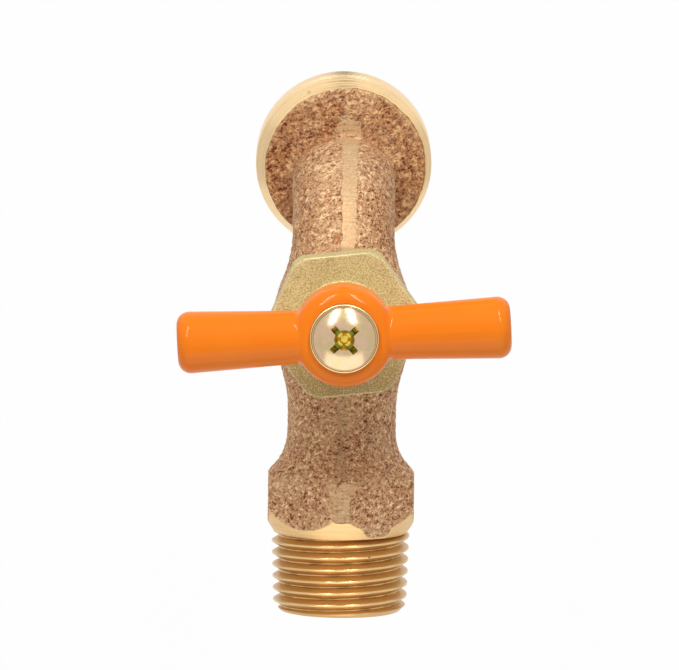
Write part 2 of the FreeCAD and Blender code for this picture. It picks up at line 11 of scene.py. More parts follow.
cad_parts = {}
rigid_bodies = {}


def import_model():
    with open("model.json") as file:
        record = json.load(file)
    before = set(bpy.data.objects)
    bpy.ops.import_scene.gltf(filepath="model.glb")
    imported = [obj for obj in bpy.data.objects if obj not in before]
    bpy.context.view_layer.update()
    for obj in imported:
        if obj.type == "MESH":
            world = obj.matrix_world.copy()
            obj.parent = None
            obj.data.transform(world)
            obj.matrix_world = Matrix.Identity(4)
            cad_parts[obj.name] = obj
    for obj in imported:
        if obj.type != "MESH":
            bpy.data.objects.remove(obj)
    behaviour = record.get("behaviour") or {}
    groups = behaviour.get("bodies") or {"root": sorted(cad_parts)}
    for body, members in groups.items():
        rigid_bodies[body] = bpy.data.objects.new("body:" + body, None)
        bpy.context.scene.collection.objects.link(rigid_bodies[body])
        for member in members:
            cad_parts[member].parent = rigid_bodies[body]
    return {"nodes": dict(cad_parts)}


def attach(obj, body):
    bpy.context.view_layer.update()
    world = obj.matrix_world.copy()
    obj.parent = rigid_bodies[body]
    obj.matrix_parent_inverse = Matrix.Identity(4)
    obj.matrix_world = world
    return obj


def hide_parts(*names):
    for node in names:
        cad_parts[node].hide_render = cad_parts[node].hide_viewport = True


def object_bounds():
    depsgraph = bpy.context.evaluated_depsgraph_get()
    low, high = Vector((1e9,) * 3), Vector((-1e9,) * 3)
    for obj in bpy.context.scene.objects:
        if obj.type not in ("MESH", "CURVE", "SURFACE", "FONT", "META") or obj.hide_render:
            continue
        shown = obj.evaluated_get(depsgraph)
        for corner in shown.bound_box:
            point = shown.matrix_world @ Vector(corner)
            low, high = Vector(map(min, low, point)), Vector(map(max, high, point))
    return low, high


bl_info = {
    "name": "Garden tap",
    "version": (1, 0, 0),
    "blender": (4, 5, 0),
    "location": "3D View > Sidebar > Garden tap",
    "description": "Builds the visible finish of a screw-down garden tap",
    "category": "Object",
}

for leftover in list(bpy.data.objects):
    bpy.data.objects.remove(leftover)
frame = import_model()
cad_bounds = [list(corner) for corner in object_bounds()]

MM = 0.001

# Photograph, in pixels, and the sensor that stands for it
PHOTO_WIDTH = 679
PHOTO_FOCAL = 6545.0
SENSOR_WIDTH = 36.0

WHITE = (1.0, 1.0, 1.0)

# Body sizes that the finish needs, as the solids have them
THREAD_LENGTH = 12.1 * MM
THREAD_PITCH = 1.814 * MM
THREAD_CREST_R = 10.22 * MM
THREAD_TAPER = 1.0 / 32.0
THREAD_DEPTH = 1.162 * MM
THREAD_CREST_AT = 1.53 * MM
THREAD_CREST_HALF = 0.13 * MM
THREAD_ROOT_HALF = 0.08 * MM
END_CHAMFER = 1.05 * MM
BORE_R = 6.5 * MM
BORE_CHAMFER = 0.6 * MM
SHOULDER_R = 10.2 * MM
SHOULDER_SLOPE = math.radians(33.7)
SHOULDER_END = 16.5 * MM
CASTING_START = 12.3 * MM
HEX_HALF = 11.1 * MM
SPINDLE_Y = -46.0 * MM
HEAD_TOP = 40.22 * MM
HEAD_RIM_R = 4.48 * MM
WASHER_RIM_R = 5.04 * MM
BOSS_TOP = 14.5 * MM
BOSS_R = 10.4 * MM
SPOUT_BEND_Y = -51.67 * MM
SPOUT_BEND_R = 14.0 * MM
SPOUT_LEAN = math.radians(8.0)
MOUTH_CENTRE = Vector((0, -67.7744 * MM, -23.7251 * MM))
MOUTH_AXIS = Vector((0, -math.sin(SPOUT_LEAN), -math.cos(SPOUT_LEAN)))
MOUTH_SIDE = (0.0, math.cos(SPOUT_LEAN), -math.sin(SPOUT_LEAN))
MOUTH_R = 13.6 * MM
MOUTH_TURNED = 5.4 * MM
MOUTH_BACK = 7.7 * MM
MOUTH_BACK_R = 12.45 * MM
MOUTH_BORE_R = 8.0 * MM
MOUTH_BORE_DEPTH = 6.5 * MM
MOUTH_CHAMFER = 0.4 * MM
MOUTH_BORE_CHAMFER = 0.6 * MM
PASSAGE_R = 4.0 * MM
PASSAGE_SLOPE = 0.4


def shade(red, green, blue):
    """Linear colour from display values of 0 to 255."""
    def linear(value):
        share = value / 255.0
        return share / 12.92 if share <= 0.04045 else ((share + 0.055) / 1.055) ** 2.4
    return linear(red), linear(green), linear(blue)


def length(name, description, default):
    """Length property, in metres."""
    return bpy.props.FloatProperty(name=name, description=description, default=default, unit="LENGTH", precision=5)


def colour(name, description, default):
    return bpy.props.FloatVectorProperty(
        name=name, description=description, default=default, subtype="COLOR", size=3, min=0, max=1)


def number(name, description, default):
    return bpy.props.FloatProperty(name=name, description=description, default=default)


class CastingLooks(bpy.types.PropertyGroup):
    """Rough cast skin of the body, with its ground parting line."""
    voxel: length("Mesh step", "Edge length of the skin's even mesh", 0.2 * MM)
    fillet_rounds: bpy.props.IntProperty(
        name="Fillet rounds", description="Smoothing rounds that round the cast corners", default=16)
    grain_size: length("Grain size", "Width of the sand grain in the skin", 0.58 * MM)
    grain_depth: length("Grain depth", "Height of the sand grain", 0.11 * MM)
    swell_size: length("Swell size", "Width of the casting's slow unevenness", 4.5 * MM)
    swell_depth: length("Swell depth", "Height of the casting's slow unevenness", 0.07 * MM)
    ground_depth: length("Ground depth", "How far the parting line is ground below the skin", 0.05 * MM)
    disc_offset: length("Disc offset", "Sideways offset of the cast disc behind the mouth", -0.27 * MM)
    disc_waver: length("Disc waver", "Unevenness of the cast disc's rim", 0.16 * MM)
    pit: colour("Pits", "Colour in the deepest pits", shade(118, 62, 36))
    body: colour("Skin", "Middle colour of the skin", shade(202, 150, 108))
    crest: colour("Grain tops", "Colour on top of the grains", shade(255, 222, 172))
    # Painted shade: multiply tint that darkens the hollows, the flange back beside the tube and the spout's sides
    shelter: colour("Sheltered skin", "Tint of the skin where the blast reached less", shade(222, 200, 180))
    ground: colour("Ground metal", "Colour of the ground parting line", shade(216, 181, 136))
    filing: colour("File marks", "Darker file marks on the ground corner of the hexagon", shade(184, 148, 104))
    stain: colour("Stain", "Colour of the small rust stain", shade(178, 108, 34))


class TurnedLooks(bpy.types.PropertyGroup):
    """Turned and threaded faces."""
    segments: bpy.props.IntProperty(name="Segments", description="Facets round the mouth", default=320)
    line_depth: length("Line depth", "Depth of the turned lines", 0.12 * MM)
    line_width: length("Line width", "Width of the turned lines", 0.26 * MM)
    groove_depth: length("Groove depth", "Depth of the fine grooves on the mouth's cone", 0.022 * MM)
    line_count: bpy.props.IntProperty(name="Lines", description="Turned lines round the mouth", default=3)
    columns: bpy.props.IntProperty(name="Columns", description="Facets round the thread", default=216)
    cone_step: length("Cone step", "Spacing of the facets along the turned cone", 0.3 * MM)
    mouth: colour("Mouth", "Colour of the mouth's turned metal", shade(254, 222, 170))
    thread: colour("Thread", "Colour of the thread's metal", shade(212, 173, 117))
    # Painted shade in the thread's roots and in the mouth's turned lines, grooves and nick; elsewhere random dark
    # tool marks
    root: colour("Thread roots", "Darker metal in the thread's roots", shade(140, 104, 58))
    rust: colour("Marks", "Orange marks on the turned cone", shade(222, 150, 70))
    spot: colour("Spots", "Colour of the few dark spots", shade(60, 44, 26))


class NutLooks(bpy.types.PropertyGroup):
    """Gland nut."""
    voxel: length("Mesh step", "Edge length of the nut's even mesh", 0.2 * MM)
    face: colour("Blasted face", "Colour of the blasted brass", shade(214, 196, 138))
    # Also the painted shade on the nut's wall side
    dull_and_shade: colour("Dull face", "Darker patches of the blasted brass", shade(168, 146, 92))
    edge: colour("Rubbed edge", "Brighter metal along the edges", shade(240, 222, 172))


class PaintLooks(bpy.types.PropertyGroup):
    """Painted handle."""
    paint: colour("Paint", "Colour of the paint", shade(255, 129, 0))
    thin: colour("Thin paint", "Paint where it has run thin", shade(255, 136, 1))
    speck: colour("Speck", "Colour of the few dust specks", shade(120, 50, 16))


class PlateLooks(bpy.types.PropertyGroup):
    """Plated screw and washer."""
    plate: colour("Plate", "Colour of the yellow zinc plate", shade(200, 174, 132))
    rose: colour("Rose", "Pinkish tint in the plate", shade(214, 176, 152))
    green: colour("Green", "Greenish tint in the plate", shade(178, 180, 126))
    # Painted highlight: the bright middle of the driver recess
    recess: colour("Recess", "Yellow plate in the middle of the driver recess", shade(228, 198, 92))
    # Painted shade: the darker wings of the driver recess
    wall: colour("Recess wings", "Greener plate in the wings of the driver recess", shade(124, 120, 46))
    # Painted shadow: the line where the head meets the washer
    rim: colour("Head rim", "Darker line round the head's edge", shade(122, 84, 46))
    washer: colour("Washer", "Colour of the washer", shade(228, 196, 142))
    # Painted shade in the washer's groove, and painted shadow at its outer edge
    groove: colour("Washer groove", "Darker metal in the washer's groove", shade(112, 80, 44))


class StageLooks(bpy.types.PropertyGroup):
    """Floor, lights and camera."""
    floor_drop: length("Floor drop", "How far the floor lies under the tap", 60 * MM)
    camera_tilt: bpy.props.FloatProperty(
        name="Camera tilt", description="How far the camera leans back from straight down",
        default=math.radians(6.3), subtype="ANGLE")
    camera_roll: bpy.props.FloatProperty(
        name="Camera roll", description="Turn of the picture", default=math.radians(0.59), subtype="ANGLE")
    camera_distance: length("Camera distance", "From the camera to the middle of the body", 1.0)
    world_level: number("Surroundings", "Strength of the white surroundings", 0.28)
    key_power: number("Main lights", "Power of the two main lights, in watts", 5.5)
    back_power: number("Back light", "Power of the wide light on the wall's side, in watts", 4.6)
    front_card: number("Front card", "Tone of the card in front of the mouth, seen in its turned metal", 0.16)
    side_cards: number("Side cards", "Tone of the cards left and right of the mouth", 0.76)


LOOKS = {
    "tap_casting": CastingLooks,
    "tap_turned": TurnedLooks,
    "tap_nut": NutLooks,
    "tap_paint": PaintLooks,
    "tap_plate": PlateLooks,
    "tap_stage": StageLooks,
}


# Shader expressions

class Value:
    """One output of a finish's nodes, for use in Python expressions."""

    def __init__(self, finish, socket):
        self.finish = finish
        self.socket = socket

    def maths(self, operation, first, second):
        return self.finish.add("ShaderNodeMath", {0: first, 1: second}, operation=operation)

    def __add__(self, other):
        return self.maths("ADD", self, other)

    def __radd__(self, other):
        return self.maths("ADD", other, self)

    def __sub__(self, other):
        return self.maths("SUBTRACT", self, other)

    def __rsub__(self, other):
        return self.maths("SUBTRACT", other, self)

    def __mul__(self, other):
        return self.maths("MULTIPLY", self, other)

    def __rmul__(self, other):
        return self.maths("MULTIPLY", other, self)

    def __abs__(self):
        return self.maths("ABSOLUTE", self, 0.0)


class Nodes:
    """The nodes of a material or of the surroundings."""

    def __init__(self, owner):
        owner.use_nodes = True
        self.tree = owner.node_tree
        self.tree.nodes.clear()

    def add(self, kind, inputs=None, output=0, **settings):
        """Add a node, set it up, fill its sockets, and return one of its outputs, or the node if output is None."""
        node = self.tree.nodes.new(kind)
        for name, value in settings.items():
            if name == "stops":
                self.set_stops(node, value)
            else:
                setattr(node, name, value)
        for key, value in (inputs or {}).items():
            self.feed(node.inputs[key], value)
        return node if output is None else Value(self, node.outputs[output])

    def set_stops(self, node, stops):
        ramp = node.color_ramp
        while len(ramp.elements) < len(stops):
            ramp.elements.new(1.0)
        for element, (position, value) in zip(ramp.elements, stops):
            element.position = position
            element.color = (*value, 1.0)

    def feed(self, socket, value):
        if isinstance(value, Value):
            self.tree.links.new(value.socket, socket)
        elif hasattr(value, "__len__") and len(value) == 3 and len(socket.default_value) == 4:
            socket.default_value = (*value, 1.0)
        else:
            socket.default_value = value

    def seen(self):
        """1 where the camera looks, straight or through a reflection or glass."""
        share = 0.0
        for ray in ("Is Camera Ray", "Is Glossy Ray", "Is Transmission Ray"):
            found = self.add("ShaderNodeLightPath", output=ray)
            share = self.add("ShaderNodeMath", {0: share, 1: found}, operation="MAXIMUM")
        return share


class Finish(Nodes):
    """A material with one Principled shader, and the nodes that feed it from places on the object."""

    def __init__(self, name):
        self.material = bpy.data.materials.new(name)
        super().__init__(self.material)
        self.shader = self.add("ShaderNodeBsdfPrincipled")
        self.output = self.add("ShaderNodeOutputMaterial", {"Surface": self.shader}, output=None)
        self.place = self.add("ShaderNodeTexCoord", output="Object")

    def stretched(self, place, stretch):
        return self.add("ShaderNodeVectorMath", {0: place, 1: stretch}, operation="MULTIPLY")

    def noise(self, size, detail=2.0, roughness=0.5, distortion=0.0, stretch=None, along=None):
        """Noise from 0 to 1 with features of a size in metres, on the object or along one value."""
        place = self.place if along is None else self.add("ShaderNodeCombineXYZ", {0: along})
        return self.add("ShaderNodeTexNoise", {
            "Vector": self.stretched(place, stretch) if stretch else place, "Scale": 1.0 / size, "Detail": detail,
            "Roughness": roughness, "Distortion": distortion})

    def cells(self, size):
        """Distance to the nearest of scattered points, in cells of a size in metres."""
        return self.add("ShaderNodeTexVoronoi", {"Vector": self.place, "Scale": 1.0 / size})

    def step(self, value, low, high, start=0.0, end=1.0):
        """Smooth step of a value from start at low to end at high."""
        return self.add("ShaderNodeMapRange", {
            "Value": value, "From Min": low, "From Max": high, "To Min": start, "To Max": end},
            interpolation_type="SMOOTHSTEP")

    def mix(self, share, first, second, blend="MIX"):
        """Colour mix."""
        return self.add(
            "ShaderNodeMix", {0: share, 6: first, 7: second}, 2, data_type="RGBA", blend_type=blend,
            clamp_factor=True)

    def layers(self, tone, rows):
        """Colours laid over a tone, each with the value that brings it in from low to high, and its share."""
        for added, value, low, high, share in rows:
            tone = self.mix(self.step(value, low, high) * share, tone, added)
        return tone

    def mask(self, name):
        """Painted attribute of the mesh."""
        return self.add("ShaderNodeAttribute", output="Fac", attribute_name=name)

    def part(self, axis):
        """One of the object's three coordinates."""
        return self.add("ShaderNodeSeparateXYZ", {0: self.place}, axis)

    def from_spindle(self):
        """Distance from the spindle's axis."""
        moved = self.add("ShaderNodeVectorMath", {0: self.place, 1: (0.0, SPINDLE_Y, 0.0)}, operation="SUBTRACT")
        flat = self.stretched(moved, (1.0, 1.0, 0.0))
        return self.add("ShaderNodeVectorMath", {0: flat}, "Value", operation="LENGTH")

    def bump(self, height, distance, strength=1.0):
        normal = self.add("ShaderNodeBump", {"Height": height, "Distance": distance, "Strength": strength})
        self.feed(self.shader.socket.node.inputs["Normal"], normal)

    def surface(self, **sockets):
        for name, value in sockets.items():
            self.feed(self.shader.socket.node.inputs[name.replace("_", " ")], value)
        return self.material


# Finishes

def cast_bronze(looks):
    """Sand-cast bronze: pits and grain, and a ground parting line."""
    finish = Finish("cast_bronze")
    fine = finish.noise(0.32 * MM, detail=3.0, roughness=0.6)
    broad = finish.noise(0.75 * MM, distortion=0.4)
    clouds = finish.noise(5.0 * MM)
    worms = finish.noise(0.45 * MM, detail=1.0)
    ridge = 1.0 - abs(worms * 2.0 - 1.0) * 2.0
    relief = finish.mask("relief")
    height = fine * 0.5 + broad * 0.24 + ridge * 0.18 + relief * 0.13
    grain = finish.add("ShaderNodeValToRGB", {0: height}, stops=[
        (0.37, looks.pit), (0.46, looks.body), (0.52, looks.body), (0.63, looks.crest)])
    shelter = finish.mask("shelter")
    # Painted shade: the skin is darkened by the tint in the hollows, behind the mouth and down the spout's sides
    skin = finish.mix(shelter * 0.9, grain, looks.shelter, "MULTIPLY")
    skin = finish.layers(skin, [(looks.crest, clouds, 0.35, 0.7, 0.16)])
    skin = finish.mix(finish.mask("rubbed") * finish.step(broad, 0.3, 0.6) * 0.7, skin, looks.ground)

    across = finish.noise(0.3 * MM, detail=3.0, stretch=(0.14, 1.0, 1.0))
    on_hexagon = finish.step(finish.part("Y"), -24.0 * MM, -22.0 * MM)
    bare = finish.layers(looks.ground, [(looks.body, across, 0.42, 0.62, 0.4)])
    bare = finish.mix(on_hexagon * finish.step(across, 0.36, 0.6, 0.05, 0.45), bare, looks.filing)
    bare = finish.layers(bare, [(looks.crest, fine, 0.55, 0.68, 0.45), (looks.pit, fine, 0.44, 0.34, 0.35)])
    ground = finish.step(finish.mask("ground") + (fine - 0.5) * 0.9 + (broad - 0.5) * 0.9, 0.4, 0.62)
    metal = finish.mix(ground, skin, bare)
    stain = finish.step(finish.mask("stain") * (fine * 1.6 + broad * 1.6 - 0.8), 0.42, 0.6)
    metal = finish.mix(stain * 0.8, metal, looks.stain)

    finish.bump(height * (1.0 - ground * 0.8) + across * ground * 0.12, 0.34 * MM, 1.0)
    return finish.surface(
        Base_Color=metal,
        Metallic=0.28,
        Specular_IOR_Level=0.15,
        Roughness=0.56 - ground * 0.03 + (fine - 0.5) * 0.15)


def turned_brass(looks):
    """Turned mouth: rings of tool marks in the metal, with slow changes of tone, and painted shade in its turned
    lines, grooves and nick.
    """
    finish = Finish("turned_mouth")
    run = finish.mask("run")
    rings = finish.noise(0.1 * MM, detail=3.0, along=run)
    wide_rings = finish.noise(0.55 * MM, along=run)
    clouds = finish.noise(4.0 * MM, detail=3.0)
    fine = finish.noise(0.25 * MM)
    tone = finish.layers(looks.mouth, [
        (looks.thread, rings, 0.35, 0.65, 0.22),
        (looks.thread, wide_rings, 0.5, 0.66, 0.4),
        (looks.thread, clouds, 0.45, 0.7, 0.16),
        (looks.root, fine, 0.66, 0.74, 0.35)])
    # Painted shade: darker in the turned lines, the cone's grooves and the nick
    tone = finish.mix(finish.mask("groove") * 0.15, tone, looks.root)
    finish.bump(rings * 0.45 + wide_rings * 0.55, 0.05 * MM, 0.7)
    return finish.surface(Base_Color=tone, Metallic=1.0, Roughness=0.34 + (clouds - 0.5) * 0.16)


def threaded_brass(looks):
    """Cut thread and turned cone: paler crests, partly turned metal and partly a painted highlight, roots painted
    darker as shade, fine tool lines round the axis.
    """
    finish = Finish("cut_thread")
    depth = finish.mask("depth")
    cone = finish.mask("cone")
    lines = finish.noise(0.09 * MM, detail=3.0, stretch=(0.01, 1.0, 0.01))
    clouds = finish.noise(3.0 * MM, detail=3.0)
    stains = finish.noise(0.6 * MM, detail=3.0, roughness=0.65, stretch=(0.2, 1.0, 0.2))
    spots = finish.cells(5.0 * MM)
    # Paler crests: turned metal, and in part a painted highlight
    tone = finish.mix(finish.step(depth, 0.02, 0.12, 0.7, 1.0), looks.mouth, looks.thread)
    tone = finish.layers(tone, [
        # Painted shade: the thread's roots darker
        (looks.root, depth + (stains - 0.5) * 1.1, 0.92, 1.14, 0.7),
        (looks.root, lines, 0.35, 0.7, 0.2)])
    tone = finish.mix(cone, tone, finish.mix(0.62 + finish.step(lines, 0.35, 0.65) * 0.3, looks.mouth, looks.thread))
    tone = finish.mix(cone * finish.step(stains, 0.58, 0.7) * 0.35, tone, looks.rust)
    tone = finish.layers(tone, [(looks.spot, spots, 0.045, 0.03, 0.85)])
    flank = finish.step(depth, 0.05, 0.2) * finish.step(depth, 0.98, 0.85)
    finish.bump(lines, 0.035 * MM, 0.8)
    return finish.surface(
        Base_Color=tone, Metallic=1.0, Roughness=0.22 + cone * 0.2 + flank * 0.16 + (clouds - 0.5) * 0.1)


def blasted_brass(looks):
    """Blasted gland nut: fine even grain, duller patches, painted shade towards the wall side, rubbed edges."""
    finish = Finish("blasted_nut")
    fine = finish.noise(0.22 * MM)
    patches = finish.noise(3.2 * MM, detail=3.0)
    scratches = finish.noise(0.22 * MM, detail=1.0, stretch=(1.0, 0.12, 0.4))
    tone = finish.layers(looks.face, [
        (looks.dull_and_shade, patches, 0.4, 0.66, 0.25),
        # Painted shade: darker towards the wall side, where the handle's shadow falls
        (looks.dull_and_shade, finish.part("Y"), -45.0 * MM, -36.0 * MM, 0.85),
        (looks.dull_and_shade, fine, 0.5, 0.36, 0.8),
        (looks.edge, fine, 0.53, 0.62, 0.55),
        (looks.edge, scratches, 0.70, 0.76, 0.4)])
    rubbed = finish.step(finish.mask("edge") + (fine - 0.5) * 0.6, 0.35, 0.7)
    tone = finish.mix(rubbed * 0.3, tone, looks.edge)
    finish.bump(fine, 0.05 * MM, 0.9)
    return finish.surface(
        Base_Color=tone, Metallic=0.3, Specular_IOR_Level=0.15,
        Roughness=0.55 - rubbed * 0.14 + (fine - 0.5) * 0.1)


def gloss_paint(looks):
    """Thick gloss paint with slight orange peel and a few specks of dust."""
    finish = Finish("gloss_paint")
    peel = finish.noise(1.6 * MM, detail=1.0)
    slow = finish.noise(9.0 * MM)
    specks = finish.cells(6.5 * MM)
    tone = finish.layers(looks.paint, [
        (looks.thin, slow, 0.35, 0.7, 0.5), (looks.speck, specks, 0.034, 0.026, 0.7)])
    finish.bump(peel * 0.7 + slow * 0.3, 0.03 * MM, 0.35)
    return finish.surface(
        Base_Color=tone, Roughness=0.4 + (slow - 0.5) * 0.06, Specular_IOR_Level=0.05, Coat_Weight=0.34,
        Coat_Roughness=0.05)


def zinc_plate(looks):
    """Yellow passivated zinc: rose and green clouds over a bright plate, a painted shadow round the head's edge, and
    in the driver recess a yellow painted highlight in the middle and darker, greener painted shade in the wings.
    """
    finish = Finish("zinc_plate")
    clouds = finish.noise(1.7 * MM, distortion=0.6)
    veil = finish.noise(0.8 * MM)
    fine = finish.noise(0.12 * MM)
    radius = finish.from_spindle()
    tone = finish.layers(looks.plate, [
        (looks.rose, clouds, 0.42, 0.6, 0.7),
        (looks.green, veil, 0.5, 0.66, 0.4),
        # Painted shadow round the head's edge
        (looks.rim, radius, HEAD_RIM_R, HEAD_RIM_R + 0.12 * MM, 0.6)])
    # Painted highlight in the recess's middle, painted shade in its wings
    walls = finish.layers(looks.recess, [
        (looks.wall, radius, 0.9 * MM, 1.25 * MM, 1.0),
        (looks.wall, veil, 0.5, 0.64, 0.5)])
    sunk = finish.step(finish.part("Z"), HEAD_TOP, HEAD_TOP - 0.22 * MM) * finish.step(radius, 3.1 * MM, 2.9 * MM)
    tone = finish.mix(sunk, tone, walls)
    finish.bump(fine * 0.4 + veil * 0.6, 0.01 * MM, 0.6)
    return finish.surface(Base_Color=tone, Metallic=1.0, Roughness=0.2 + (veil - 0.5) * 0.12)


def washer_plate(looks):
    """Plated washer with turned grooves, painted darker in its groove as shade and at its outer edge as shadow."""
    finish = Finish("washer_plate")
    radius = finish.from_spindle()
    rings = finish.noise(0.1 * MM, along=radius)
    clouds = finish.noise(1.2 * MM)
    # Painted shade in the groove, and painted shadow at the outer edge
    groove = finish.step(radius, 4.78 * MM, 4.82 * MM) * finish.step(radius, 4.92 * MM, 4.88 * MM)
    groove = groove + finish.step(radius, WASHER_RIM_R, WASHER_RIM_R + 0.08 * MM) * 0.6
    tone = finish.layers(looks.washer, [
        (looks.plate, rings, 0.35, 0.65, 0.4), (looks.washer, clouds, 0.4, 0.65, 0.4)])
    tone = finish.mix(groove * 0.85, tone, looks.groove)
    finish.bump(rings * 0.3 - groove * 0.7, 0.06 * MM, 0.8)
    return finish.surface(Base_Color=tone, Metallic=1.0, Roughness=0.3 + (clouds - 0.5) * 0.12)


def plain_metal(name, tone, dark):
    """Turned brass of the inner pieces: lines round the spindle's axis."""
    finish = Finish(name)
    lines = finish.noise(0.1 * MM, detail=3.0, stretch=(0.02, 0.02, 1.0))
    clouds = finish.noise(2.5 * MM, detail=3.0)
    metal = finish.layers(tone, [(dark, lines, 0.3, 0.7, 0.3), (dark, clouds, 0.45, 0.7, 0.3)])
    finish.bump(lines, 0.012 * MM, 0.7)
    return finish.surface(Base_Color=metal, Metallic=1.0, Roughness=0.3 + (clouds - 0.5) * 0.2)


def rubber(name, tone, dusty):
    """Moulded rubber with a dusty bloom."""
    finish = Finish(name)
    fine = finish.noise(0.2 * MM, detail=3.0)
    bloom = finish.noise(1.8 * MM, detail=3.0)
    skin = finish.layers(tone, [(dusty, bloom, 0.4, 0.75, 0.5)])
    finish.bump(fine, 0.02 * MM, 0.6)
    return finish.surface(Base_Color=skin, Roughness=0.66 + (bloom - 0.5) * 0.2)


# Mesh tools

def piece(name, mesh):
    """Link a mesh into the scene as a named object."""
    made = bpy.data.objects.new(name, mesh)
    bpy.context.scene.collection.objects.link(made)
    return made


def finished(name, mesh, material, sharp_from=None):
    """Smooth-shaded piece in its finish, with the edges sharp that turn by more than an angle."""
    mesh.shade_smooth()
    if sharp_from is not None:
        mesh.set_sharp_from_angle(angle=sharp_from)
    mesh.materials.clear()
    mesh.materials.append(material)
    return piece(name, mesh)


def cad_form(node):
    """Closed working copy of a CAD node."""
    form = bmesh.new()
    form.from_mesh(frame["nodes"][node].data)
    bmesh.ops.remove_doubles(form, verts=form.verts, dist=1e-7)
    return form


def cut_beyond(form, point, normal):
    """Take off what lies beyond a plane, and close the cut round its bore."""
    everything = form.verts[:] + form.edges[:] + form.faces[:]
    cut = bmesh.ops.bisect_plane(
        form, geom=everything, dist=1e-8, plane_co=point, plane_no=normal, clear_outer=True)
    rim = [edge for edge in cut["geom_cut"] if isinstance(edge, bmesh.types.BMEdge)]
    bmesh.ops.triangle_fill(form, use_beauty=True, edges=rim, normal=normal)


def named_mesh(name, form):
    mesh = bpy.data.meshes.new(name)
    form.to_mesh(mesh)
    form.free()
    return mesh


def join_rings(form, here, there, closed=True):
    """Faces between two rings of corners."""
    for k in range(len(here) if closed else len(here) - 1):
        after = (k + 1) % len(here)
        form.faces.new((here[k], here[after], there[after], there[k]))


def even_mesh(name, form, step):
    """Even quad mesh of a closed form."""
    holder = piece(name + "_form", named_mesh(name + "_form", form))
    remesh = holder.modifiers.new("Even mesh", "REMESH")
    remesh.mode = "VOXEL"
    remesh.voxel_size = step
    bpy.context.view_layer.update()
    graph = bpy.context.evaluated_depsgraph_get()
    mesh = bpy.data.meshes.new_from_object(holder.evaluated_get(graph))
    mesh.name = name
    bpy.data.objects.remove(holder)
    return mesh


def read_rows(collection, attribute, width, kind=np.float32):
    """Array with a row for each item of a mesh's collection."""
    values = np.empty(len(collection) * width, kind)
    collection.foreach_get(attribute, values)
    return values.reshape(-1, width)


def points_of(mesh):
    return read_rows(mesh.vertices, "co", 3).astype(float)


def normals_of(mesh):
    return read_rows(mesh.vertex_normals, "vector", 3).astype(float)


def edges_of(mesh):
    return read_rows(mesh.edges, "vertices", 2, np.int32)


def set_points(mesh, points):
    mesh.vertices.foreach_set("co", points.astype(np.float32).ravel())
    mesh.update()


def set_mask(mesh, name, values):
    """Write one value for each vertex as an attribute that a finish reads."""
    attribute = mesh.attributes.new(name, "FLOAT", "POINT")
    attribute.data.foreach_set("value", np.ascontiguousarray(values, np.float32))


def relaxed(points, edges, rounds, weight=0.5):
    """Move each vertex towards the mean of its neighbours, some rounds. The weight may be a column."""
    count = len(points)
    neighbours = np.bincount(edges.ravel(), minlength=count)[:, None]
    for _ in range(rounds):
        total = np.empty_like(points)
        for axis in range(points.shape[1]):
            column = points[:, axis]
            total[:, axis] = np.bincount(edges[:, 0], column[edges[:, 1]], count)
            total[:, axis] += np.bincount(edges[:, 1], column[edges[:, 0]], count)
        points = points + weight * (total / neighbours - points)
    return points


def blurred(values, edges, rounds):
    """Values of the vertices, each spread to its neighbours some rounds."""
    return relaxed(values[:, None], edges, rounds)[:, 0]


def ease(values, low, high):
    """Smooth step from 0 at low to 1 at high, or the other way if high is the smaller."""
    share = np.clip((values - low) / (high - low), 0.0, 1.0)
    return share * share * (3.0 - 2.0 * share)


def unevenness(points, size, octaves, shift):
    """Fractal noise at each point, about -1 to 1, with features of a size in metres."""
    scaled = points / size + shift
    return np.array([noise.fractal(Vector(p), 0.9, 2.1, octaves) for p in scaled])


def mouth_frame(points):
    """Radius and angle round the mouth's axis, height above its open face, and offset from the axis."""
    away = points - np.array(MOUTH_CENTRE)
    axis = np.array(MOUTH_AXIS)
    height = -(away @ axis)
    across = away + height[:, None] * axis
    angle = np.arctan2(across @ np.array(MOUTH_SIDE), across[:, 0])
    return np.linalg.norm(across, axis=1), angle, height, across


# Body casting

# Sines that make the disc's rim waver: turns round it, share, shift
RIM_WAVES = ((3, 0.3, 0.4), (7, 0.28, 2.1), (16, 0.26, 4.0), (33, 0.2, 1.2), (58, 0.16, 0.3))

# Inner faces, which keep their shape
NECK_FOOT = BOSS_TOP - 0.3 * MM
NECK_R = BOSS_R - 0.6 * MM
CHAMBER_R = 9.3 * MM
CHAMBER_FLOOR = -12 * MM
CHAMBER_HALF = 9.4 * MM
BORE_END = 37 * MM
BORE_REACH = 7.2 * MM
OUTLET_R = 8.3 * MM
OUTLET_TOP = 7.4 * MM
OUTLET_SLOPE = 0.25

# Fit of the casting to the turned ring, which it stays inside of
FIT_MARGIN = 0.5 * MM
FIT_TOP = MOUTH_BACK + 1.4 * MM
DISC_FOOT = MOUTH_TURNED + 0.9 * MM
DISC_TOP = MOUTH_BACK + 1.6 * MM
DISC_INNER_R = 5.0 * MM
SKIN_FOOT = MOUTH_TURNED + 0.6 * MM
DISC_LIFT = (8.6 * MM, 12.2 * MM)
RIM_RAISED = 0.1 * MM
RIM_RAISE = (-1.0 * MM, -0.2 * MM)
RIM_BAND = 0.3 * MM
RING_TUCK = 0.14 * MM
RING_TUCK_FROM = 0.02 * MM
FACE_BAND = 0.3 * MM
FACE_TUCK = 0.2 * MM
BORE_TUCK = 0.35 * MM
PASSAGE_REACH = 0.45 * MM
PASSAGE_FADE = 0.4 * MM

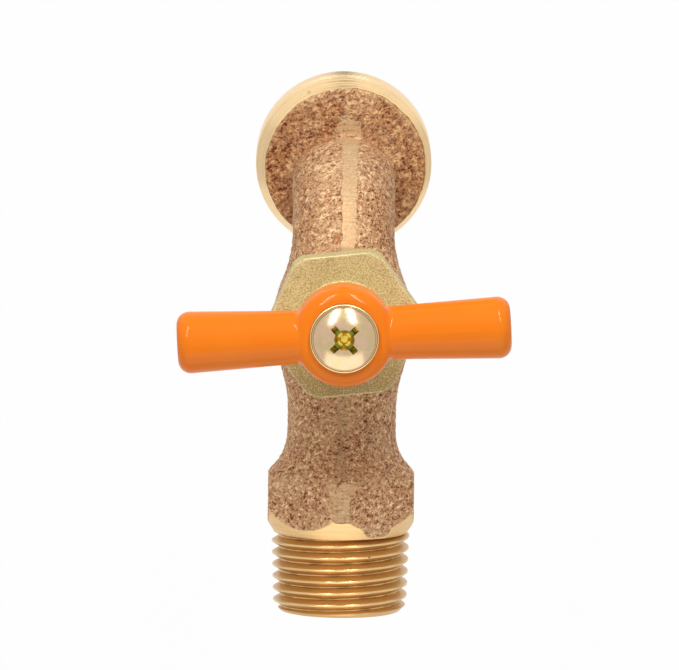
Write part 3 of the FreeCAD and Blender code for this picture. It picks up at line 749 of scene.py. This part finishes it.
# Places where the skin changes, each as a start and an end: distances from the mouth's axis or from the plane
# x = 0, heights above the mouth's face, and stations along the tap from the inlet
# The first five of these also mark where the skin is painted darker as shade
SHELTER_SHADE_R = (7.4 * MM, 9.2 * MM)
SHELTER_SHADE_HEIGHT = (14.0 * MM, 9.5 * MM)
SHELTER_SHADE_FADE = (75.0 * MM, 79.0 * MM)
SHADED_SIDES_ACROSS = (3.2 * MM, 6.8 * MM)
SHADED_SIDES_START = (54 * MM, 58 * MM)
NEAR_RIM = (11.4 * MM, 12.2 * MM)
LINE_START = (20.5 * MM, 22.0 * MM)
LINE_FAINT = (57.0 * MM, 52.0 * MM)
LINE_FADE = (77.6 * MM, 73.4 * MM)
SADDLE = (71.0 * MM, 71.6 * MM)
CORNER_FADE = (21.5 * MM, 20.3 * MM)

# The ground lines: station, middle and half width
TOP_STRIP = [
    (12.0, 0.0, 1.0), (22.0, 0.0, 1.0), (27.0, -0.2, 1.0), (34.0, -0.3, 1.0), (46.0, -0.5, 1.1), (56.0, -0.75, 1.2),
    (66.0, -0.85, 1.2), (70.9, -0.85, 1.3), (71.4, -0.9, 2.8), (73.0, -0.7, 2.4), (75.2, -0.3, 1.5), (77.0, 0.0, 0.8)]
UNDER_STRIP = [
    (12.0, 0.0, 1.0), (21.0, 0.1, 1.6), (30.0, 0.2, 1.1), (46.0, 0.2, 1.4), (58.0, 0.1, 1.1), (70.0, 0.1, 1.0)]
SADDLE_START = 71.2 * MM
SADDLE_EDGE = 1.3 * MM
HARD_EDGE = 0.18 * MM
SOFT_EDGE = 0.8 * MM
SPOUT_START = 66 * MM
SPOUT_UNDERSIDE = -40 * MM

# The hexagon's ground corner: station and height
GROUND_CORNER = [
    (12.3, 12.12), (16.0, 12.06), (18.2, 11.98), (19.4, 11.72), (20.4, 11.32), (21.2, 11.1), (22.5, 10.9)]
CORNER_END = 22.2 * MM
CORNER_EDGE = (-0.03 * MM, 0.05 * MM)

# Small marks on the skin
ROUNDING_SCALE = 0.1 * MM
NUB_X, NUB_STATION, NUB_SIZE, NUB_RISE = -0.3 * MM, 78.2 * MM, 0.5 * MM, 0.3 * MM
STAIN_PLACE = (1.0 * MM, -57.7 * MM)
STAIN_EDGE = (0.2 * MM, 1.0 * MM)
PATCH_X, PATCH_STATION = -5.6 * MM, 14.0 * MM
PATCH_EDGE = (1.7 * MM, 2.3 * MM)

# Turned cone behind the thread
CONE_TUCK = 0.07 * MM
CONE_REACH = 17.2 * MM
CONE_INSET = 0.12 * MM
CORNER_LIMIT = 11.96 * MM
PATCH_SUNK = 0.25 * MM
COLLAR_R = 8.6 * MM


def disc_rim(angle, looks):
    """Radius and height of the line where the cast disc meets the turned mouth, by angle."""
    waver = np.zeros_like(angle)
    for turns, share, shift in RIM_WAVES:
        waver += share * np.sin(turns * angle + shift)
    radius = MOUTH_BACK_R + looks.disc_offset * np.cos(angle) + looks.disc_waver * waver * 0.7
    slope = (MOUTH_BACK - MOUTH_TURNED) / (MOUTH_R - MOUTH_BACK_R)
    return radius, MOUTH_TURNED + (MOUTH_R - radius) * slope


def shape_disc(points, looks):
    """Fit the cast disc behind the mouth to its rim, and tuck the rest inside the turned ring."""
    radius, angle, height, across = mouth_frame(points)
    rim_r, rim_height = disc_rim(angle, looks)
    near = (height < FIT_TOP) & (radius > MOUTH_BORE_R + FIT_MARGIN) & (height > -FIT_MARGIN)
    back = near & (height > DISC_FOOT)
    lift = (rim_height - MOUTH_BACK) * ease(radius, *DISC_LIFT) * back
    lift += RIM_RAISED * ease(radius - rim_r, *RIM_RAISE) * back
    lifted = height + lift
    slope = (MOUTH_R - MOUTH_BACK_R) / (MOUTH_BACK - MOUTH_TURNED)
    cone = MOUTH_R - np.clip(lifted - MOUTH_TURNED, 0, None) * slope
    tuck = RING_TUCK * ease(rim_height - lifted, RING_TUCK_FROM, RIM_BAND)
    limit = np.minimum(cone - tuck, np.where(lifted > rim_height - RIM_BAND, rim_r, MOUTH_R))
    least = np.maximum(radius, 1e-6)
    shrink = np.where(near, np.minimum(radius, limit) / least, 1.0)
    tucked = np.where(near & (height < FACE_BAND), FACE_TUCK, 0.0)
    top = MOUTH_BORE_DEPTH + (MOUTH_BORE_R - radius) * PASSAGE_SLOPE + PASSAGE_REACH
    bore = (radius < MOUTH_BORE_R + FIT_MARGIN) & (height > -FIT_MARGIN) & (height < top)
    wall = bore & (height < MOUTH_BORE_DEPTH)
    shrink = np.where(wall, np.maximum(radius, MOUTH_BORE_R + BORE_TUCK) / least, shrink)
    tucked += np.where(bore & ~wall, BORE_TUCK, 0.0) * ease(radius, PASSAGE_R, PASSAGE_R + PASSAGE_FADE)
    return np.array(MOUTH_CENTRE) + across * shrink[:, None] - (lifted + tucked)[:, None] * np.array(MOUTH_AXIS)


def inner_faces(points):
    """Points on the casting's inner faces: neck, chamber, bore and outlet."""
    from_spindle = np.hypot(points[:, 0], points[:, 1] - SPINDLE_Y)
    from_axis = np.hypot(points[:, 0], points[:, 2])
    radius, _, height, _ = mouth_frame(points)
    neck = (points[:, 2] > NECK_FOOT) & (from_spindle < NECK_R)
    chamber = (from_spindle < CHAMBER_R) & (points[:, 2] > CHAMBER_FLOOR) & (from_axis < CHAMBER_HALF)
    bore = (-points[:, 1] < BORE_END) & (from_axis < BORE_REACH)
    outlet = (radius < OUTLET_R) & (height < OUTLET_TOP + (OUTLET_R - radius) * OUTLET_SLOPE)
    return neck | chamber | bore | outlet


def route_point(points):
    """Nearest point to each point on the waterway's middle line, from the wall to the mouth."""
    nearest = np.zeros_like(points)
    nearest[:, 1] = np.maximum(points[:, 1], SPOUT_BEND_Y)
    bend = points[:, 1] < SPOUT_BEND_Y
    centre = np.array((0.0, SPOUT_BEND_Y, -SPOUT_BEND_R))
    turn = np.arctan2(-(points[:, 1] - centre[1]), points[:, 2] - centre[2])
    turn = np.clip(turn, 0.0, math.pi / 2 - SPOUT_LEAN)
    arc = np.stack([np.zeros_like(turn), centre[1] - SPOUT_BEND_R * np.sin(turn),
                    centre[2] + SPOUT_BEND_R * np.cos(turn)], axis=1)
    nearest[bend] = arc[bend]
    return nearest


def along_tap(station, table):
    """Each further column of a table in millimetres, at stations along the tap."""
    stations, *columns = (np.array(column) * MM for column in zip(*table))
    return [np.interp(station, stations, column) for column in columns]


def shelter_and_shade_mask(points, station, hollow, on_disc):
    """Share of painted shade, and of rougher skin where the blast reached less: behind the mouth, in the hollows and
    down the spout's sides.
    """
    radius, _, height, _ = mouth_frame(points)
    behind = np.maximum(on_disc * ease(radius, *SHELTER_SHADE_R), ease(height, *SHELTER_SHADE_HEIGHT) * 0.8)
    behind = np.maximum(behind * (1.0 - ease(station, *SHELTER_SHADE_FADE)), hollow * 0.7)
    # Painted shade: the spout's sides darker, as where the light falls off
    sides = ease(np.abs(points[:, 0]), *SHADED_SIDES_ACROSS) * ease(station, *SHADED_SIDES_START) * 0.5
    return np.maximum(behind, sides * (height > SHELTER_SHADE_HEIGHT[1]))


def ground_lines(points, station, on_top, cast):
    """Share of ground metal along the parting line, above and below."""
    top, under = (along_tap(-points[:, 1], table) for table in (TOP_STRIP, UNDER_STRIP))
    middle, half = (np.where(on_top, above, below) for above, below in zip(top, under))
    waver = unevenness(points, 1.3 * MM, 2, 21.0) * 0.26 * MM
    side = points[:, 0] - middle + waver
    edge = np.where(side > 0, HARD_EDGE, SOFT_EDGE)
    edge = np.where((station > SADDLE_START) & on_top, SADDLE_EDGE, edge)
    ground = (1.0 - ease(np.abs(side) - half, -edge, edge)) * cast
    ground = ground * (1.0 - 0.55 * ease(station, *LINE_FAINT) * on_top) * ease(station, *LINE_START)
    return ground * np.where(on_top, ease(station, *LINE_FADE), 1.0)


def grind_corner(points, station, slow, on_top):
    """Take the hexagon's top corner down to its ground height, and return the share of ground metal there."""
    corner = along_tap(station, GROUND_CORNER)[0] + 0.02 * MM * slow
    over = np.where(on_top & (station < CORNER_END), points[:, 2] - corner, -1.0)
    points[:, 2] -= np.maximum(over, 0.0)
    return ease(over, *CORNER_EDGE) * (0.25 + 0.5 * ease(station, *CORNER_FADE))


def tuck_under_cone(points, skin, grain):
    """Bring the skin just inside the turned cone, except on the bare patch."""
    station = -points[:, 1]
    from_axis = np.hypot(points[:, 0], points[:, 2])
    patch = bare_patch(points[:, 0], points[:, 2], station)
    limit = cone_radius(station) - CONE_TUCK * (1.0 - patch) + patch * grain * 0.12 * MM
    coned = skin & (station < CONE_REACH)
    shrink = np.where(coned, np.minimum(from_axis, limit) / np.maximum(from_axis, 1e-6), 1.0)
    points[:, ::2] *= shrink[:, None]
    points[:, 1] = np.minimum(points[:, 1], -CASTING_START)


class GARDEN_TAP_OT_casting(bpy.types.Operator):
    """Cast body with its rough skin and ground parting line"""
    bl_idname = "garden_tap.casting"
    bl_label = "Casting"

    def execute(self, context):
        looks = context.scene.tap_casting
        form = cad_form("tap_body")
        cut_beyond(form, (0, -CASTING_START, 0), (0, 1, 0))
        mesh = even_mesh("casting", form, looks.voxel)
        points, edges = points_of(mesh), edges_of(mesh)
        station = -points[:, 1]
        keep = inner_faces(points)
        softened = relaxed(points, edges, looks.fillet_rounds, np.where(keep, 0.1, 0.5)[:, None])
        rounding = np.einsum("ij,ij->i", softened - points, normals_of(mesh)) / ROUNDING_SCALE
        rubbed = np.clip(-rounding, 0, 1)
        hollow = blurred(np.clip(rounding, 0, 1), edges, 8)
        points = shape_disc(softened, looks)
        set_points(mesh, points)

        outward = np.einsum("ij,ij->i", normals_of(mesh), points - route_point(points))
        radius, _, height, _ = mouth_frame(points)
        on_disc = (height > DISC_FOOT) & (height < DISC_TOP) & (radius > DISC_INNER_R)
        on_top = points[:, 2] > np.where(station > SPOUT_START, SPOUT_UNDERSIDE, 0.0)
        on_top = on_top & (height > MOUTH_BACK - 0.6 * MM)
        skin = ((outward > 0) | on_disc) & ~keep & (height > SKIN_FOOT)
        cast = blurred(skin.astype(float), edges, 2) * skin

        slow = unevenness(points, looks.swell_size, 2, 3.0)
        grain = unevenness(points, looks.grain_size, 3, 11.0)
        coarse = unevenness(points, looks.grain_size * 1.9, 2, 47.0)
        shelter = shelter_and_shade_mask(points, station, hollow, on_disc) * skin
        saddle = ease(station, *SADDLE) * on_top
        ground = ground_lines(points, station, on_top, cast)
        nub = np.exp(-(np.hypot(points[:, 0] - NUB_X, station - NUB_STATION) / NUB_SIZE) ** 2) * on_disc

        rise = looks.swell_depth * slow
        rise += looks.grain_depth * (grain + shelter * coarse * 0.5) * (1.0 - ground * 0.88)
        rise -= looks.ground_depth * ground * (1.0 - saddle)
        rise *= 1.0 - 0.6 * (ease(radius, *NEAR_RIM) * on_disc)
        rise += NUB_RISE * nub
        points = points + normals_of(mesh) * (rise * cast)[:, None]
        ground = np.maximum(ground, grind_corner(points, station, slow, skin & on_top))
        tuck_under_cone(points, skin, grain)
        set_points(mesh, points)

        stain = 1.0 - ease(np.linalg.norm(points[:, :2] - np.array(STAIN_PLACE), axis=1), *STAIN_EDGE)
        crease = ease(hollow, 0.35, 0.8)
        set_mask(mesh, "ground", ground * (1.0 - 0.3 * saddle) * (1.0 - 0.25 * crease))
        set_mask(mesh, "relief", grain + shelter * coarse * 0.85)
        set_mask(mesh, "rubbed", rubbed * skin)
        # Painted shade, and rougher skin, in the same places
        set_mask(mesh, "shelter", shelter)
        set_mask(mesh, "stain", stain * (points[:, 2] > 0))
        body = finished("casting", mesh, cast_bronze(looks))
        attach(body, "tap")
        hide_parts("tap_body")
        return {"FINISHED"}


def thread_half():
    """Half a turn of the thread: places away from the crest's middle, and depths below the crest."""
    flank_end = THREAD_PITCH / 2 - THREAD_ROOT_HALF
    places, depths = [0.0, THREAD_CREST_HALF * 0.7, THREAD_CREST_HALF * 1.25], [0.0, 0.01 * MM, 0.075 * MM]
    for share in (0.12, 0.25, 0.45, 0.65, 0.85, 1.0):
        places.append(THREAD_CREST_HALF + share * (flank_end - THREAD_CREST_HALF))
        depths.append(share * THREAD_DEPTH)
    places.append(THREAD_PITCH / 2)
    depths.append(THREAD_DEPTH)
    return places, depths


def thread_depth(angle, station):
    """Depth of the thread below its crest cone."""
    places, depths = thread_half()
    turns = (station - THREAD_CREST_AT) / THREAD_PITCH - angle / (2 * math.pi)
    from_crest = np.abs((turns + 0.5) % 1.0 - 0.5) * THREAD_PITCH
    return np.interp(from_crest, places, depths)


def cone_radius(station):
    return SHOULDER_R + (station - THREAD_LENGTH) / math.tan(math.pi / 2 - SHOULDER_SLOPE)


def hexagon_radius(angle):
    """Distance from the inlet's axis to the hexagon's flats, with a corner straight up."""
    from_flat = (angle - math.pi / 2) % (math.pi / 3) - math.pi / 6
    return HEX_HALF / np.cos(from_flat)


def bare_patch(x, z, station):
    """Share of bare cast skin left on the turned cone, on one side of its top."""
    away = np.hypot(x - PATCH_X, (station - PATCH_STATION) * 1.1)
    return (1.0 - ease(away, *PATCH_EDGE)) * (z > 0)


def thread_rows(angle, turn):
    """Rows of the thread's helical grid: stations, radii, depth below the crest, and 0 for not on the cone."""
    rows = []
    for count in range(-3, math.ceil(THREAD_LENGTH / THREAD_PITCH) + 1):
        for place in turn:
            free = THREAD_CREST_AT + place + THREAD_PITCH * (count + angle / (2 * math.pi))
            station = np.clip(free, 0.0, THREAD_LENGTH)
            crest = THREAD_CREST_R + THREAD_TAPER * station
            radius = np.minimum(crest - thread_depth(angle, station), THREAD_CREST_R - END_CHAMFER + station)
            rows.append((station, radius, (crest - radius) / THREAD_DEPTH, 0.0))
    return rows


def cone_rows(angle, step):
    """Rows of the turned cone, the collar inside the casting and the bore."""
    level = np.ones(len(angle))
    rows = []
    for station in np.linspace(THREAD_LENGTH, SHOULDER_END, round((SHOULDER_END - THREAD_LENGTH) / step)):
        radius = np.minimum(cone_radius(station), hexagon_radius(angle) - CONE_INSET)
        radius = np.minimum(radius, CORNER_LIMIT / np.maximum(np.sin(angle), 0.1))
        radius = radius - PATCH_SUNK * bare_patch(radius * np.cos(angle), np.sin(angle), station)
        rows.append((station * level, radius, 0.0 * level, 1.0))
    inside = [(SHOULDER_END, COLLAR_R), (CASTING_START, COLLAR_R), (CASTING_START, BORE_R), (BORE_CHAMFER, BORE_R),
              (0.0, BORE_R + BORE_CHAMFER)]
    return rows + [(station * level, radius * level, 0.3 * level, 0.0) for station, radius in inside]


class GARDEN_TAP_OT_inlet_thread(bpy.types.Operator):
    """Taper pipe thread with its end face, the first length of the bore and the turned cone"""
    bl_idname = "garden_tap.inlet_thread"
    bl_label = "Inlet thread"

    def execute(self, context):
        looks = context.scene.tap_turned
        angle = np.arange(looks.columns) * 2 * math.pi / looks.columns
        places, _ = thread_half()
        turn = [-place for place in reversed(places[1:-1])] + places
        helix = thread_rows(angle, turn)
        form = bmesh.new()
        depth, cone = (form.verts.layers.float.new(name) for name in ("depth", "cone"))
        loops = []
        for stations, radii, depths, on_cone in helix + cone_rows(angle, looks.cone_step):
            loops.append([])
            for a, station, radius, below in zip(angle, stations, radii, depths):
                corner = form.verts.new((radius * math.cos(a), -station, radius * math.sin(a)))
                corner[depth], corner[cone] = below, on_cone
                loops[-1].append(corner)
        grid, rings = loops[:len(helix)], loops[len(helix) - 1:] + loops[:1]
        for here, there in zip(grid, grid[1:]):
            join_rings(form, here, there, closed=False)
        for here, there, next_here, next_there in zip(grid, grid[1:], grid[len(turn):], grid[len(turn) + 1:]):
            form.faces.new((here[-1], next_here[0], next_there[0], there[-1]))
        for here, there in zip(rings, rings[1:]):
            join_rings(form, here, there)
        bmesh.ops.remove_doubles(form, verts=form.verts[:], dist=1e-7)
        bmesh.ops.recalc_face_normals(form, faces=form.faces[:])
        thread = finished("inlet_thread", named_mesh("inlet_thread", form), threaded_brass(looks), math.radians(38))
        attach(thread, "tap")
        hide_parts("tap_body")
        return {"FINISHED"}


# Mouth ring

# Shares of the way up the ring's cone, and those of them that are grooves
CONE_SHARES = (0.08, 0.16, 0.2, 0.24, 0.4, 0.46, 0.5, 0.54, 0.66, 0.7, 0.74, 0.88, 1.0)
CONE_GROOVES = (0.2, 0.5, 0.7)

# Part of the ring inside the casting, and how dark the rows there and the nick are; the nick's dark spot is painted
# shade, with no dent
HIDDEN_ROWS = ((9.6 * MM, 6.9 * MM), (6.6 * MM, 7.6 * MM))
HIDDEN_MARK = 4.5
NICK_PLACE = (5.5 * MM, -78.3 * MM)
NICK_R = 0.24 * MM
NICK_MARK = 2.5


def ring_profile(looks):
    """Turned outline from the passage over the bore and face to the band's top: radius, height, and 1 in a line."""
    line_pitch = (MOUTH_TURNED - MOUTH_CHAMFER) / (2.0 * looks.line_count)
    outline = [
        (PASSAGE_R, 8.1 * MM), (6.0 * MM, 7.3 * MM), (MOUTH_BORE_R, MOUTH_BORE_DEPTH), (MOUTH_BORE_R, 3.5 * MM),
        (MOUTH_BORE_R, MOUTH_BORE_CHAMFER), (MOUTH_BORE_R + MOUTH_BORE_CHAMFER, 0.0), (10.0 * MM, 0.0),
        (12.0 * MM, 0.0), (MOUTH_R - MOUTH_CHAMFER, 0.0), (MOUTH_R, MOUTH_CHAMFER)]
    profile = [(radius, height, 0.0) for radius, height in outline]
    for line in reversed(range(looks.line_count)):
        middle = MOUTH_TURNED - line_pitch * (line + 0.5)
        profile += [
            (MOUTH_R, middle - looks.line_width / 2, 0.0), (MOUTH_R - looks.line_depth, middle, 1.0),
            (MOUTH_R, middle + looks.line_width / 2, 0.0)]
    return profile + [(MOUTH_R, MOUTH_TURNED, 0.0)]


class GARDEN_TAP_OT_mouth_ring(bpy.types.Operator):
    """Turned ring of the mouth, with its bore"""
    bl_idname = "garden_tap.mouth_ring"
    bl_label = "Mouth"

    def execute(self, context):
        looks = context.scene.tap_turned
        steps = looks.segments
        angle = np.arange(steps) * 2 * math.pi / steps
        rim_r, rim_height = disc_rim(angle, context.scene.tap_casting)
        level = np.ones(steps)
        rows = [(r * level, h * level, mark) for r, h, mark in ring_profile(looks)]
        for share in CONE_SHARES:
            mark = float(share in CONE_GROOVES)
            cut = looks.groove_depth * mark
            radius = MOUTH_R + (rim_r - MOUTH_R) * share - cut
            rows.append((radius, MOUTH_TURNED + (rim_height - MOUTH_TURNED) * share - cut / 2, mark))
        rows.append((rim_r - 0.5 * MM, rim_height - 0.35 * MM, HIDDEN_MARK))
        rows += [(r * level, h * level, HIDDEN_MARK) for r, h in HIDDEN_ROWS]

        form = bmesh.new()
        loops, runs, run = [], [], 0.0
        across = [Vector((math.cos(a), 0, 0)) + Vector(MOUTH_SIDE) * math.sin(a) for a in angle]
        for index, (r, h, _) in enumerate(rows):
            if index:
                run += math.hypot(r[0] - rows[index - 1][0][0], h[0] - rows[index - 1][1][0])
            loops.append([form.verts.new(MOUTH_CENTRE + across[k] * r[k] - MOUTH_AXIS * h[k]) for k in range(steps)])
            runs += [run] * steps
        for here, there in zip(loops, loops[1:] + loops[:1]):
            join_rings(form, here, there)
        bmesh.ops.recalc_face_normals(form, faces=form.faces[:])
        mesh = named_mesh("mouth_ring", form)
        set_mask(mesh, "run", runs)
        points = points_of(mesh)
        nick = np.hypot(points[:, 0] - NICK_PLACE[0], points[:, 1] - NICK_PLACE[1]) < NICK_R
        marks = np.repeat([mark for _, _, mark in rows], steps)
        # Painted shade: the nick is only a darker spot
        set_mask(mesh, "groove", np.where(nick & (points[:, 2] > -20 * MM), NICK_MARK, marks))
        ring = finished("mouth_ring", mesh, turned_brass(looks), math.radians(22))
        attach(ring, "tap")
        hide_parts("tap_body")
        return {"FINISHED"}


# Gland nut and the pieces that keep their CAD shape

NUT_BORE_R = 6.0 * MM
NUT_EDGE_SCALE = 0.05 * MM


class GARDEN_TAP_OT_gland_nut(bpy.types.Operator):
    """Hexagon gland nut with blasted faces and softly rounded edges"""
    bl_idname = "garden_tap.gland_nut"
    bl_label = "Gland nut"

    def execute(self, context):
        looks = context.scene.tap_nut
        mesh = even_mesh("gland_nut", cad_form("bonnet_nut"), looks.voxel)
        points, edges = points_of(mesh), edges_of(mesh)
        smooth = relaxed(points, edges, 3)
        set_points(mesh, smooth)
        outside = np.hypot(points[:, 0], points[:, 1] - SPINDLE_Y) > NUT_BORE_R
        grain = unevenness(smooth, 1.4 * MM, 2, 31.0) * 0.02 * MM
        set_points(mesh, smooth + normals_of(mesh) * (grain * outside)[:, None])
        rounding = np.linalg.norm(smooth - points, axis=1)
        set_mask(mesh, "edge", np.clip(rounding / NUT_EDGE_SCALE, 0, 1))
        nut = finished("gland_nut", mesh, blasted_brass(looks))
        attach(nut, "tap")
        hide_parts("bonnet_nut")
        return {"FINISHED"}


def dress(material, *nodes):
    """Give CAD nodes their finish."""
    for node in nodes:
        for held in frame["nodes"][node].material_slots:
            held.material = material


class GARDEN_TAP_OT_handle(bpy.types.Operator):
    """Gloss paint on the handle"""
    bl_idname = "garden_tap.handle"
    bl_label = "Handle"

    def execute(self, context):
        dress(gloss_paint(context.scene.tap_paint), "handle")
        return {"FINISHED"}


class GARDEN_TAP_OT_screw(bpy.types.Operator):
    """Plated screw and washer on the handle"""
    bl_idname = "garden_tap.screw"
    bl_label = "Screw and washer"

    def execute(self, context):
        looks = context.scene.tap_plate
        dress(zinc_plate(looks), "handle_screw")
        dress(washer_plate(looks), "screw_washer")
        return {"FINISHED"}


class GARDEN_TAP_OT_inner_pieces(bpy.types.Operator):
    """Spindle, jumper valve, ring, packing and washer"""
    bl_idname = "garden_tap.inner_pieces"
    bl_label = "Inner pieces"

    def execute(self, context):
        dress(plain_metal("turned_spindle", shade(232, 196, 120), shade(184, 140, 70)), "spindle", "packing_ring")
        dress(plain_metal("turned_jumper", shade(226, 184, 108), shade(170, 124, 60)), "jumper_valve", "jumper_nut")
        dress(rubber("packing_rubber", shade(44, 44, 46), shade(86, 84, 80)), "gland_packing")
        dress(rubber("washer_rubber", shade(34, 34, 36), shade(70, 70, 68)), "jumper_washer")
        return {"FINISHED"}


# Stage

BODY_MIDDLE = Vector((0.0, -42.3 * MM, 0.0))
FLOOR_HALF = 6.0
FLOOR_LIGHT = (0.8, 0.8, 0.8)
FLOOR_DARK = (0.77, 0.77, 0.77)
CARD_LIFT = 1.0 * MM
CAMERA_TARGET = Vector((0.48 * MM, 0.0, 0.0))
CAMERA_ASIDE = Vector((6.0 * MM, 0.0, 0.0))

# Soft boxes: place, width and depth in metres
MAIN_LIGHTS = [("Main_left", (0.387, -0.864, 0.739), 0.15, 0.8), ("Main_right", (-0.253, -0.866, 0.735), 0.13, 0.8)]
BACK_LIGHT = ("Back", (0.0, 0.9, 0.6), 1.6, 1.0)

# Cards round the mouth: direction and half spread in degrees, near and far edge
FRONT_CARD = ("Flag_front", -90, 6.5, 34 * MM, 260 * MM)
SIDE_CARDS = [("Flag_left", 0, 24, 64 * MM, 240 * MM), ("Flag_right", 180, 24, 64 * MM, 240 * MM)]


def floor_material():
    """Pale floor that shows as white, and keeps some of the tap's shadow."""
    finish = Finish("pale_floor")
    mottle = finish.noise(40 * MM)
    material = finish.surface(Base_Color=finish.mix(mottle * 0.04, FLOOR_LIGHT, FLOOR_DARK), Roughness=0.9)
    glow = finish.add("ShaderNodeEmission", {"Color": WHITE, "Strength": 1.0})
    both = finish.add("ShaderNodeMixShader", {0: finish.seen() * 0.97, 1: finish.shader, 2: glow})
    finish.feed(finish.output.inputs["Surface"], both)
    return material


def posed(name, data, place, axes):
    """Put a light or a camera in the scene, by its place and its three axes."""
    held = bpy.data.objects.new(name, data)
    held.matrix_world = Matrix.Translation(place) @ Matrix(axes).transposed().to_4x4()
    bpy.context.scene.collection.objects.link(held)
    return held


def soft_light(name, place, width, depth, power):
    """Soft box aimed at the body's middle, with its depth along the tap's own length."""
    lamp = bpy.data.lights.new(name, "AREA")
    lamp.shape = "RECTANGLE"
    lamp.size = width
    lamp.size_y = depth
    lamp.energy = power
    away = (Vector(place) - BODY_MIDDLE).normalized()
    along = (Vector((0.0, 1.0, 0.0)) - away * away.y).normalized()
    posed(name, lamp, place, (along.cross(away), along, away))


def flag(name, direction, spread, near, far, level, tone):
    """Card just above the floor beside the mouth, seen only in reflections."""
    centre = Vector((MOUTH_CENTRE.x, MOUTH_CENTRE.y, level))
    form = bmesh.new()
    corners = []
    for distance, turn in ((near, -spread), (far, -spread), (far, spread), (near, spread)):
        angle = math.radians(direction + turn)
        corners.append(form.verts.new(centre + Vector((math.cos(angle), math.sin(angle), 0.0)) * distance))
    form.faces.new(corners)
    card = piece(name, named_mesh(name, form))
    finish = Finish(name)
    mottle = finish.noise(20 * MM)
    light, dark = ((tone * share,) * 3 for share in (1.0, 0.9))
    card.data.materials.append(finish.surface(Base_Color=finish.mix(mottle, light, dark), Roughness=0.9))
    card.visible_camera = False


def white_world(level):
    """White surroundings: plain white where the camera or a reflection looks, softer as light."""
    world = bpy.data.worlds.new("Studio")
    nodes = Nodes(world)
    soft, white = (
        nodes.add("ShaderNodeBackground", {"Color": WHITE, "Strength": strength}) for strength in (level, 1.0))
    both = nodes.add("ShaderNodeMixShader", {0: nodes.seen(), 1: soft, 2: white})
    nodes.add("ShaderNodeOutputWorld", {"Surface": both}, output=None)
    bpy.context.scene.world = world


def camera(looks):
    """Camera nearly straight above the tap, a little aside, with the photo's lens."""
    tilt, roll = looks.camera_tilt, looks.camera_roll
    target = BODY_MIDDLE + CAMERA_TARGET
    look = Vector((0.0, math.sin(tilt), -math.cos(tilt)))
    place = target - look * looks.camera_distance + CAMERA_ASIDE
    look = (target - place).normalized()
    right = look.cross(Vector((0.0, -math.cos(tilt), -math.sin(tilt)))).normalized()
    up = right.cross(look)
    rolled_right = right * math.cos(roll) + up * math.sin(roll)
    rolled_up = up * math.cos(roll) - right * math.sin(roll)
    lens = bpy.data.cameras.new("Camera")
    lens.sensor_width = SENSOR_WIDTH
    lens.lens = SENSOR_WIDTH * PHOTO_FOCAL / PHOTO_WIDTH
    return posed("Camera", lens, place, (rolled_right, rolled_up, -look))


class GARDEN_TAP_OT_stage(bpy.types.Operator):
    """Pale floor, soft lights and the camera"""
    bl_idname = "garden_tap.stage"
    bl_label = "Stage"

    def execute(self, context):
        looks = context.scene.tap_stage
        context.scene.view_settings.view_transform = "Standard"
        level = cad_bounds[0][2] - looks.floor_drop
        form = bmesh.new()
        bmesh.ops.create_grid(form, x_segments=8, y_segments=8, size=FLOOR_HALF)
        floor = piece("floor", named_mesh("floor", form))
        floor.location = (0, BODY_MIDDLE.y, level)
        floor.data.materials.append(floor_material())

        white_world(looks.world_level)
        for light in MAIN_LIGHTS:
            soft_light(*light, looks.key_power)
        soft_light(*BACK_LIGHT, looks.back_power)
        flag(*FRONT_CARD, level + CARD_LIFT, looks.front_card)
        for side in SIDE_CARDS:
            flag(*side, level + CARD_LIFT, looks.side_cards)
        context.scene.camera = camera(looks)
        return {"FINISHED"}


OPERATORS = [
    GARDEN_TAP_OT_casting,
    GARDEN_TAP_OT_inlet_thread,
    GARDEN_TAP_OT_mouth_ring,
    GARDEN_TAP_OT_gland_nut,
    GARDEN_TAP_OT_handle,
    GARDEN_TAP_OT_screw,
    GARDEN_TAP_OT_inner_pieces,
    GARDEN_TAP_OT_stage,
]


class GARDEN_TAP_PT_panel(bpy.types.Panel):
    """Lists the tap's pieces and their sizes and colours"""
    bl_idname = "GARDEN_TAP_PT_panel"
    bl_label = "Garden tap"
    bl_space_type = "VIEW_3D"
    bl_region_type = "UI"
    bl_category = "Garden tap"

    def draw(self, context):
        for operator in OPERATORS:
            self.layout.operator(operator.bl_idname)
        for name in LOOKS:
            group = getattr(context.scene, name)
            box = self.layout.box()
            for key in group.__annotations__:
                box.prop(group, key)


def register():
    for group in LOOKS.values():
        bpy.utils.register_class(group)
    for name, group in LOOKS.items():
        setattr(bpy.types.Scene, name, bpy.props.PointerProperty(type=group))
    for operator in OPERATORS:
        bpy.utils.register_class(operator)
    bpy.utils.register_class(GARDEN_TAP_PT_panel)


def unregister():
    bpy.utils.unregister_class(GARDEN_TAP_PT_panel)
    for operator in reversed(OPERATORS):
        bpy.utils.unregister_class(operator)
    for name in LOOKS:
        delattr(bpy.types.Scene, name)
    for group in reversed(list(LOOKS.values())):
        bpy.utils.unregister_class(group)


def main():
    register()
    bpy.ops.garden_tap.casting()
    bpy.ops.garden_tap.inlet_thread()
    bpy.ops.garden_tap.mouth_ring()
    bpy.ops.garden_tap.gland_nut()
    bpy.ops.garden_tap.handle()
    bpy.ops.garden_tap.screw()
    bpy.ops.garden_tap.inner_pieces()
    bpy.ops.garden_tap.stage()
    bpy.context.view_layer.update()


if __name__ == "__main__":
    main()
